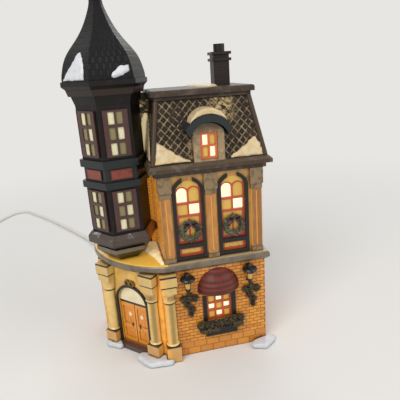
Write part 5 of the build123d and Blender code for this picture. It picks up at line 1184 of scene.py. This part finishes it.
class HOUSE_OT_entrance(bpy.types.Operator):
    """Columns, door, board and step"""

    bl_idname = "house.entrance"
    bl_label = "Entrance"
    diagonal = 0.7071
    column_gap = 22.5          # left of the origin, between the two front columns
    black_lines = ((56.7, 58.7), (72.8, 74.4), (82.2, 84.2))

    def columns(self):
        paint = Paint("column cream")
        z = paint.z
        base = paint.blotch("cream", "plaster", 5, 4.0, 0.42, 0.7, 0.6)
        base = paint.mix((z < 15.0) * 0.6, base, "pilaster")
        base = paint.mix(z.ramp(60, 69) * 0.25, base, "capital")
        gap = abs(paint.x + self.column_gap)
        shaft = z.band(18.0, 57.4, 0.5)
        # Painted shade: the shafts turn olive on their outer sides, away from the gap.
        base = paint.mix(gap.band(5.4, 9.6, 1.6) * shaft * 0.9, base, "olive")
        carving = paint.noise(4.5, 4.0).ramp(0.35, 0.6) * 0.35 + 0.35
        capital = gap.band(4.6, 13.0, 1.6) * z.band(60.0, 65.5, 1.6)
        base = paint.mix(capital * carving, base, "stain")
        # Painted light: the column faces next to the gap between the two front columns are painted
        # ember.
        base = paint.mix(gap.ramp(5.6, 2.0) * (shaft * 0.45 + 0.5), base, "ember")
        neck, rim, top = (z.band(*ends, 0.2) for ends in self.black_lines)
        lines = neck.upper(rim).upper(top)
        worn = paint.noise(2.5, 3.0).ramp(0.22, 0.42) * (abs(paint.nz) < 0.6)
        base = paint.mix((lines * worn).upper(z.band(14.95, 16.6, 0.1)), base, "black")
        # The columns glow faintly in their own colour: painted light.
        dress(paint.finish(base, painted_shade="stain", strength=0.2), "columns")

    def door(self):
        paint = Paint("door boards")
        x, y = paint.x + DOOR_X, paint.y + DOOR_Y
        along = x * self.diagonal - y * self.diagonal
        stretched = paint.join(along * 2.2 * MM, paint.z * 0.3 * MM, 0.0)
        grain = paint.noise(3.2, 4.0, stretched)
        plank = abs(along).fold(3.3) < 0.2
        base = paint.mix(grain.ramp(0.35, 0.7) * 0.35, "door", "brick_dark")
        base = paint.mix(plank * 0.25, base, "stain")
        recess = (x * -self.diagonal + y * -self.diagonal) < -2.0
        base = paint.mix(recess * 0.15, base, "sash")
        holly = paint.noise(3.0, 3.0).ramp(0.58, 0.66) * paint.z.band(9, 32, 3)
        base = paint.mix(holly * 0.4, base, "stain")
        sprig = abs(abs(along) - 4.4) / 1.7 + abs(paint.z - 22.5) / 4.0
        sprig = sprig + paint.noise(2.0, 3.0) * 1.4
        base = paint.mix(sprig.ramp(1.65, 1.4), base, "box_leaf")
        # Painted light: two diamond spots of light board colour, lit spots on the door.
        diamond = abs(abs(along) - 6.7) / 2.1 + abs(paint.z - 33.0) / 2.6
        base = paint.mix(diamond.ramp(1.05, 0.9), base, "board")
        relief = grain * 0.3 + (1 - plank) * 0.3
        # The door glows faintly in its own colour: painted light.
        paint.finish(base, height=relief, depth=0.2, painted_shade="stain", strength=0.25)
        dress(paint, "entrance_door")

    def execute(self, context):
        self.columns()
        self.door()
        board = Paint("bare board")
        base = board.blotch("board", "cream", 6, 5.0, 0.42, 0.72, 0.5)
        base = board.mix(board.z.ramp(47.3, 46.9), base, "black")
        # The board glows faintly in its own colour: painted light.
        dress(board.finish(base, painted_shade="stain", strength=0.15), "entrance_fanlight")
        step = Paint("step stone")
        base = step.blotch("step", "eave", 4, 5.0, 0.4, 0.7, 0.6)
        dress(step.finish(base, painted_shade="black", height=step.noise(3, 5.0), depth=0.5), "door_step")
        return {"FINISHED"}


class HOUSE_OT_shop_front(bpy.types.Operator):
    """Shop window, awning and lanterns"""

    bl_idname = "house.shop_front"
    bl_label = "Shop front"
    awning_fold = 4.4
    lantern_pane = math.radians(90)

    def execute(self, context):
        sash = Paint("shop sash")
        recess = (sash.y > -37.6) * (sash.ny < -0.5)
        base = sash.mix(sash.noise(3, 4.0) * 0.3, "sash", "door")
        base = sash.mix(recess, base, "amber")
        glow = sash.mix(recess, "stain", "ember")
        glow = sash.mix(sash.ny > 0.5, glow, "light")
        dress(sash.finish(base, painted_shade="stain", glow=glow, strength=0.3, soft=0.2), "shop_sash")

        awning = Paint("awning")
        fold = awning.z.fold(self.awning_fold) / (self.awning_fold / 2)
        base = awning.mix(fold.ramp(0.2, 0.8) * 0.7, "awning", "tower_sash")
        base = awning.blotch(base, "panel", 6, 4.0, 0.5, 0.75, 0.4)
        base = awning.mix((awning.z < 62.0) * 0.5, base, "tower_sash")
        dress(awning.finish(base, rough=0.5, height=fold, depth=0.7, **DULL), "awning")

        glass = Paint("lantern glass")
        base = glass.mix(glass.noise(2, 3.0), "amber", "plaster")
        fold = glass.x - LANTERN_MIDDLE
        across = fold - fold.sign() * LANTERN_HALF
        around = (glass.y - LANTERN_Y).heading(across) / self.lantern_pane
        base = glass.mix((around + 0.667).fold(1.0) < 0.1, base, "black")
        base = glass.mix(glass.z < 70.0, base, "black")
        # The lantern glass glows faintly in its own colour: painted light.
        dress(glass.finish(base, coat=0.3, strength=0.1), "lantern_glass")
        return {"FINISHED"}


class HOUSE_OT_greenery(bpy.types.Operator):
    """Wreaths with bows, and the greenery of the box and under the lanterns"""

    bl_idname = "house.greenery"
    bl_label = "Greenery"
    wreath_needles = 260
    box_clumps = 9
    box_drops = ((-16.4, 25.8), (-11.5, 25.6), (-5.5, 26.0), (12.6, 27.4), (16.6, 28.0))
    hanging_top = 57.0
    hanging_clumps = (         # across, down and radius
        (-5, 0, 3.6), (0, -1.5, 4.0), (5, 0, 3.6), (-1.5, 6, 3.4), (2, 10.5, 2.9), (1, 15, 2.2),
    )

    def wreaths(self, paint, draw):
        bm = bmesh.new()
        bows = bmesh.new()
        for x in (ARCH_MIDDLE - ARCH_HALF, ARCH_MIDDLE + ARCH_HALF):
            middle = Vector((x, WREATH_Y, WREATH_Z))
            start = Vector((x + WREATH_RADIUS, WREATH_Y, WREATH_Z)) * MM
            ring = bmesh.new()
            shape = basis((1, 0, 0), (0, -1, 0), (0, 0, 1), start)
            bmesh.ops.create_circle(ring, segments=10, radius=2.1 * MM, matrix=shape)
            turned(ring, middle * MM, 36)
            for vert in ring.verts:
                vert.co += (vert.co - middle * MM) * 0.12 * noise.noise(vert.co / (1.6 * MM))
            join_mesh(bm, ring)
            places = []
            for _ in range(self.wreath_needles):
                turn = draw.uniform(0, 2 * math.pi)
                lean = draw.uniform(-0.2, math.pi + 0.2)
                spoke = Vector((math.cos(turn), 0, math.sin(turn)))
                way = spoke * math.cos(lean) + Vector((0, -1, 0)) * math.sin(lean)
                swirl = Vector((-math.sin(turn), 0, math.cos(turn))) * 0.7
                places.append((middle + spoke * WREATH_RADIUS + way * 1.7, way + swirl))
            needles(bm, places, draw)
            self.bow(bows, middle + Vector((0, -2.9, 6.6)))
        piece("wreath_needles", bm, paint, "wreaths", smooth=False)
        ribbon = Paint("bow ribbon")
        base = ribbon.blotch("bow", "tower_sash", 2.5, 4.0, 0.4, 0.7, 0.6)
        ribbon.finish(base, rough=0.3, coat=0.4, painted_shade="black", size=2.0, soft=0.15)
        piece("wreath_ribbons", bows, ribbon, "wreath_bows")

    def bow(self, bm, knot):
        """Two loops, two tails and a knot."""
        wide, tall = 1.9, 5.4      # of a tail
        flat = Matrix.Translation((1.35 * MM, 0, 0)) @ Matrix.Diagonal((0.32 * MM, 1.5 * MM, 1, 1))
        for side in (-1, 1):
            loop = bmesh.new()
            bmesh.ops.create_circle(loop, segments=8, radius=0.7)
            bmesh.ops.transform(loop, matrix=flat, verts=loop.verts)
            turned(loop, (0, 0, 0), 20)
            tilt = Matrix.Rotation(side * math.radians(-16), 4, "Y")
            place = Matrix.Translation((knot + Vector((side * 2.9, 0, 0.4))) * MM)
            shape = place @ tilt @ Matrix.Diagonal((1.9, 1, 1.15, 1))
            bmesh.ops.transform(loop, matrix=shape, verts=loop.verts)
            join_mesh(bm, loop)
            tail = bmesh.new()
            bmesh.ops.create_grid(
                tail, x_segments=3, y_segments=8, size=0.5,
                matrix=Matrix.Diagonal((wide * MM, tall * MM, 1, 1)),
            )
            for vert in tail.verts:
                down = 0.5 - vert.co.y / (tall * MM)
                notch = 0.9 * abs(vert.co.x) / (wide / 2 * MM) if down > 0.95 else 0
                vert.co = Vector((
                    vert.co.x + side * (0.6 + 4.2 * down) * MM,
                    (-0.3 - 0.5 * math.sin(down * 5)) * MM,
                    (-tall * down - notch) * MM,
                ))
            bmesh.ops.solidify(tail, geom=tail.faces, thickness=0.35 * MM)
            bmesh.ops.recalc_face_normals(tail, faces=tail.faces)
            bmesh.ops.transform(tail, matrix=Matrix.Translation(knot * MM), verts=tail.verts)
            join_mesh(bm, tail)
        place = Matrix.Translation((knot + Vector((0, -0.4, 0))) * MM)
        bmesh.ops.create_icosphere(bm, subdivisions=2, radius=1.0 * MM, matrix=place)

    def clump(self, bm, blobs, count, draw):
        """Rough balls of greenery with needles that look away from the wall."""
        tone = tone_layer(bm)
        places = []
        for spot, radius in blobs:
            made = bmesh.ops.create_icosphere(
                bm, subdivisions=3, radius=radius * 0.8 * MM, matrix=Matrix.Translation(spot * MM)
            )
            for vert in made["verts"]:
                vert.co += (vert.co - spot * MM) * 0.35 * noise.noise(vert.co / (1.8 * MM))
            shade_block(made, tone, 0.15)
            for _ in range(count):
                way = Vector([draw.gauss(0, 1) for _ in range(3)]).normalized()
                way.y = -abs(way.y)
                places.append((spot + way * radius * 0.72, way))
        needles(bm, places, draw)

    def execute(self, context):
        draw = random.Random(sizes().seed + 2)
        self.wreaths(evergreen("wreath needles", "leaf", "leaf_tip"), draw)
        paint = evergreen("box needles", "box_leaf", "box_tip")
        low, high = (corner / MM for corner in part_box("flower_box_greenery"))
        bm = bmesh.new()
        blobs = []
        for i in range(self.box_clumps):
            share = i / (self.box_clumps - 1) * 2 - 1
            lift = 28.9 + (2.6 if share > 0 else 0.3) * share**2 + 0.6 * (i % 2)
            blobs.append((Vector((SHOP_X + share * 17.6, -42.6 + 0.5 * (i % 2), lift)), 4.4))
        for across, z in self.box_drops:
            blobs.append((Vector((SHOP_X + across, -44.6, z)), 3.6))
        self.clump(bm, blobs, 60, draw)
        limits = list(zip(low, (high.x, GROUND_FRONT, high.z)))
        for vert in bm.verts:
            for axis, (least, most) in enumerate(limits):
                vert.co[axis] = min(max(vert.co[axis], least * MM), most * MM)
        piece("box_needles", bm, paint, "flower_box_greenery", smooth=False)

        bm = bmesh.new()
        for x in HANGING_X:
            blobs = []
            for across, drop, radius in self.hanging_clumps:
                blobs.append((Vector((x + across, -39.9, self.hanging_top - drop)), radius))
            self.clump(bm, blobs, 44, draw)
        for vert in bm.verts:
            vert.co.y = min(vert.co.y, GROUND_FRONT * MM)
        piece("hanging_needles", bm, paint, "hanging_greenery", smooth=False)
        return {"FINISHED"}


class HOUSE_OT_snow(bpy.types.Operator):
    """Snow on the roofs, the dome, the ledge and the ground"""

    bl_idname = "house.snow"
    bl_label = "Snow"
    left_corner = (
        (-16.8, 175.2), (13.5, 175.2), (10, 177.4), (3.6, 181), (-5, 187), (-10.7, 191.3),
        (-13.4, 192.6),
    )
    right_corner = (
        (43.5, 175.2), (71.6, 175.2), (69.6, 184), (66.6, 190.2), (64.7, 190.4), (59.2, 186.2),
        (52.6, 181.5), (46.4, 178.8),
    )
    left_slope = ((-24, 175.4), (9.8, 175.4), (9.8, 208), (6, 206), (-2, 196), (-13, 186))
    link = (
        (-22, 176), (-18, 176), (-13.4, 203), (-12.6, 210), (-15.5, 212), (-18.5, 209.5),
        (-21, 200),
    )
    cap = ((23, 24), (30, -6), (35, -20), (42, -16), (41.6, 8), (38, 22), (30, 26))
    ledge = (
        (-15.6, -38), (-19.5, -37.4), (-23, -22), (-30.5, -3), (-27, 12), (-21, 22), (-15.6, 23),
    )
    dome_left = (
        (-14.5, 241.4), (10.6, 241.4), (10.2, 251.8), (5.6, 259.5), (2, 261.6), (-0.5, 258),
        (-3.9, 253.8), (-9.5, 247.5),
    )
    dome_front = (
        (0.0, 244.3), (2.2, 247.2), (8.1, 250.9), (13.4, 250.4), (13.9, 247), (9.4, 244.2),
        (3.2, 242.2), (0.6, 241.8),
    )

    def backward(self, y):
        """Rays that look back from the front."""
        return lambda u, v: (Vector((u, y, v)), Vector((0, 1, 0)))

    def rightward(self, x):
        return lambda u, v: (Vector((x, u, v)), Vector((1, 0, 0)))

    def down(self, z):
        return lambda u, v: (Vector((u, v, z)), Vector((0, 0, -1)))

    def at_tower(self, heading):
        """Rays that look at the tower's axis from a heading."""
        out = Vector((math.cos(math.radians(heading)), math.sin(math.radians(heading)), 0))
        right = Vector((-out.y, out.x, 0))
        return lambda u, v: (Vector((TOWER_X, TOWER_Y, v)) + right * u + out * 80, -out)

    def lay(self, name, paint, node, *patches):
        """One piece of snow on a CAD node from its patches."""
        host = tree_of(node)
        bm = bmesh.new()
        for outline, place, *rest in patches:
            snow_patch(bm, outline, place, host, *rest)
        piece(name, bm, paint)

    def execute(self, context):
        # Painted light: warm snow is snow painted as lit by the house.
        warm = snow_paint("lit snow", "warm_snow")
        cool = snow_paint("cold snow", "cool_snow")
        self.lay(
            "mansard_snow", warm, "mansard",
            (self.left_corner, self.backward(-120), 1.5, 2.5),
            (self.right_corner, self.backward(-120), 1.5, 2.5),
            (self.left_slope, self.rightward(-24), 1.4, 2.5, 16.0),
        )
        # Painted light: this snow between the tower and the roof glows in the bright ledge-snow
        # colour.
        paint = snow_paint("link snow", "ledge_snow", 0.5)
        self.lay("link_snow", paint, "mansard", (self.link, self.backward(11.0), 1.4, 2.5, 2.0))
        self.lay("cap_snow", warm, "roof_cap", (self.cap, self.down(280), 1.7, 3.5))
        # Painted light: the ledge snow glows as well.
        paint = snow_paint("ledge snow", "ledge_snow", 0.3)
        self.lay("ledge_snow", paint, "ledge", (self.ledge, self.down(96), 2.6, 5.0))
        self.lay(
            "dome_snow", cool, "dome",
            (self.dome_left, self.at_tower(LEFT_FACE), 1.2, 2.0),
            (self.dome_front, self.at_tower(FRONT_FACE), 1.2, 2.0),
        )
        piece("drift_snow", softened("snow_drifts", 0.7, 0.35, 0.0), cool, "snow_drifts")
        piece("hood_snow", softened("dormer_snow", 0.6, 0.3), warm, "dormer_snow")
        return {"FINISHED"}


class HOUSE_OT_lamp(bpy.types.Operator):
    """Clip-in lamp, bulb, switch, tie and plug"""

    bl_idname = "house.lamp"
    bl_label = "Lamp"

    def moulded(self, name, tone, rough=0.42):
        paint = Paint(name)
        base = paint.mix(paint.noise(12, 3.0) * 0.25, tone, "cord")
        grain = paint.noise(0.6, 2.0)
        return paint.finish(base, rough=rough, coat=0.05, mottle=0.03, height=grain, depth=0.05)

    def metal(self, name, tone):
        paint = Paint(name)
        base = paint.blotch(tone, "stain", 3, 4.0, 0.5, 0.8, 0.3)
        return paint.finish(base, rough=0.3, coat=0.0, metal=1.0, mottle=0.06, depth=0.05)

    def execute(self, context):
        dress(
            self.moulded("lamp plastic", "plastic"),
            "lamp_flange", "lamp_socket", "strain_relief", "switch_base", "switch_cover",
            "plug_body",
        )
        dress(self.moulded("switch wheel", "cord", 0.5), "switch_wheel")
        dress(self.moulded("tie", "black"), "coil_tie")
        dress(self.metal("spring steel", "steel"), "spring_clip", "switch_screws")
        brass = self.metal("brass", "brass")
        dress(brass, "socket_shell", "socket_contact", "bulb_base", "plug_blades")
        bulb = Paint("bulb glass")
        glow = bulb.mix(bulb.y.ramp(26, 10), "amber", "light")
        bulb.finish("light", rough=0.2, coat=0.4, mottle=0.03, glow=glow, strength=1.2)
        dress(bulb, "bulb_glass")
        return {"FINISHED"}


class HOUSE_PT_panel(bpy.types.Panel):
    """Steps that dress the house, in order"""

    bl_idname = "HOUSE_PT_panel"
    bl_label = "Village house"
    bl_space_type = "VIEW_3D"
    bl_region_type = "UI"
    bl_category = "Village house"

    def draw(self, context):
        for step in STEPS:
            self.layout.operator(step.bl_idname)
        for group in (context.scene.house_sizes, context.scene.house_colours):
            for name in group.__annotations__:
                self.layout.prop(group, name)


STEPS = (
    HOUSE_OT_stage, HOUSE_OT_cord, HOUSE_OT_walls, HOUSE_OT_roof, HOUSE_OT_tower, HOUSE_OT_windows,
    HOUSE_OT_entrance, HOUSE_OT_shop_front, HOUSE_OT_greenery, HOUSE_OT_snow, HOUSE_OT_lamp,
)
CLASSES = (HOUSE_PG_colours, HOUSE_PG_sizes, *STEPS, HOUSE_PT_panel)


def register():
    for kind in CLASSES:
        bpy.utils.register_class(kind)
    bpy.types.Scene.house_colours = PointerProperty(type=HOUSE_PG_colours)
    bpy.types.Scene.house_sizes = PointerProperty(type=HOUSE_PG_sizes)


def unregister():
    del bpy.types.Scene.house_sizes
    del bpy.types.Scene.house_colours
    for kind in reversed(CLASSES):
        bpy.utils.unregister_class(kind)


def main():
    register()
    bpy.ops.house.stage()
    bpy.ops.house.cord()
    bpy.ops.house.walls()
    bpy.ops.house.roof()
    bpy.ops.house.tower()
    bpy.ops.house.windows()
    bpy.ops.house.entrance()
    bpy.ops.house.shop_front()
    bpy.ops.house.greenery()
    bpy.ops.house.snow()
    bpy.ops.house.lamp()


if __name__ == "__main__":
    main()
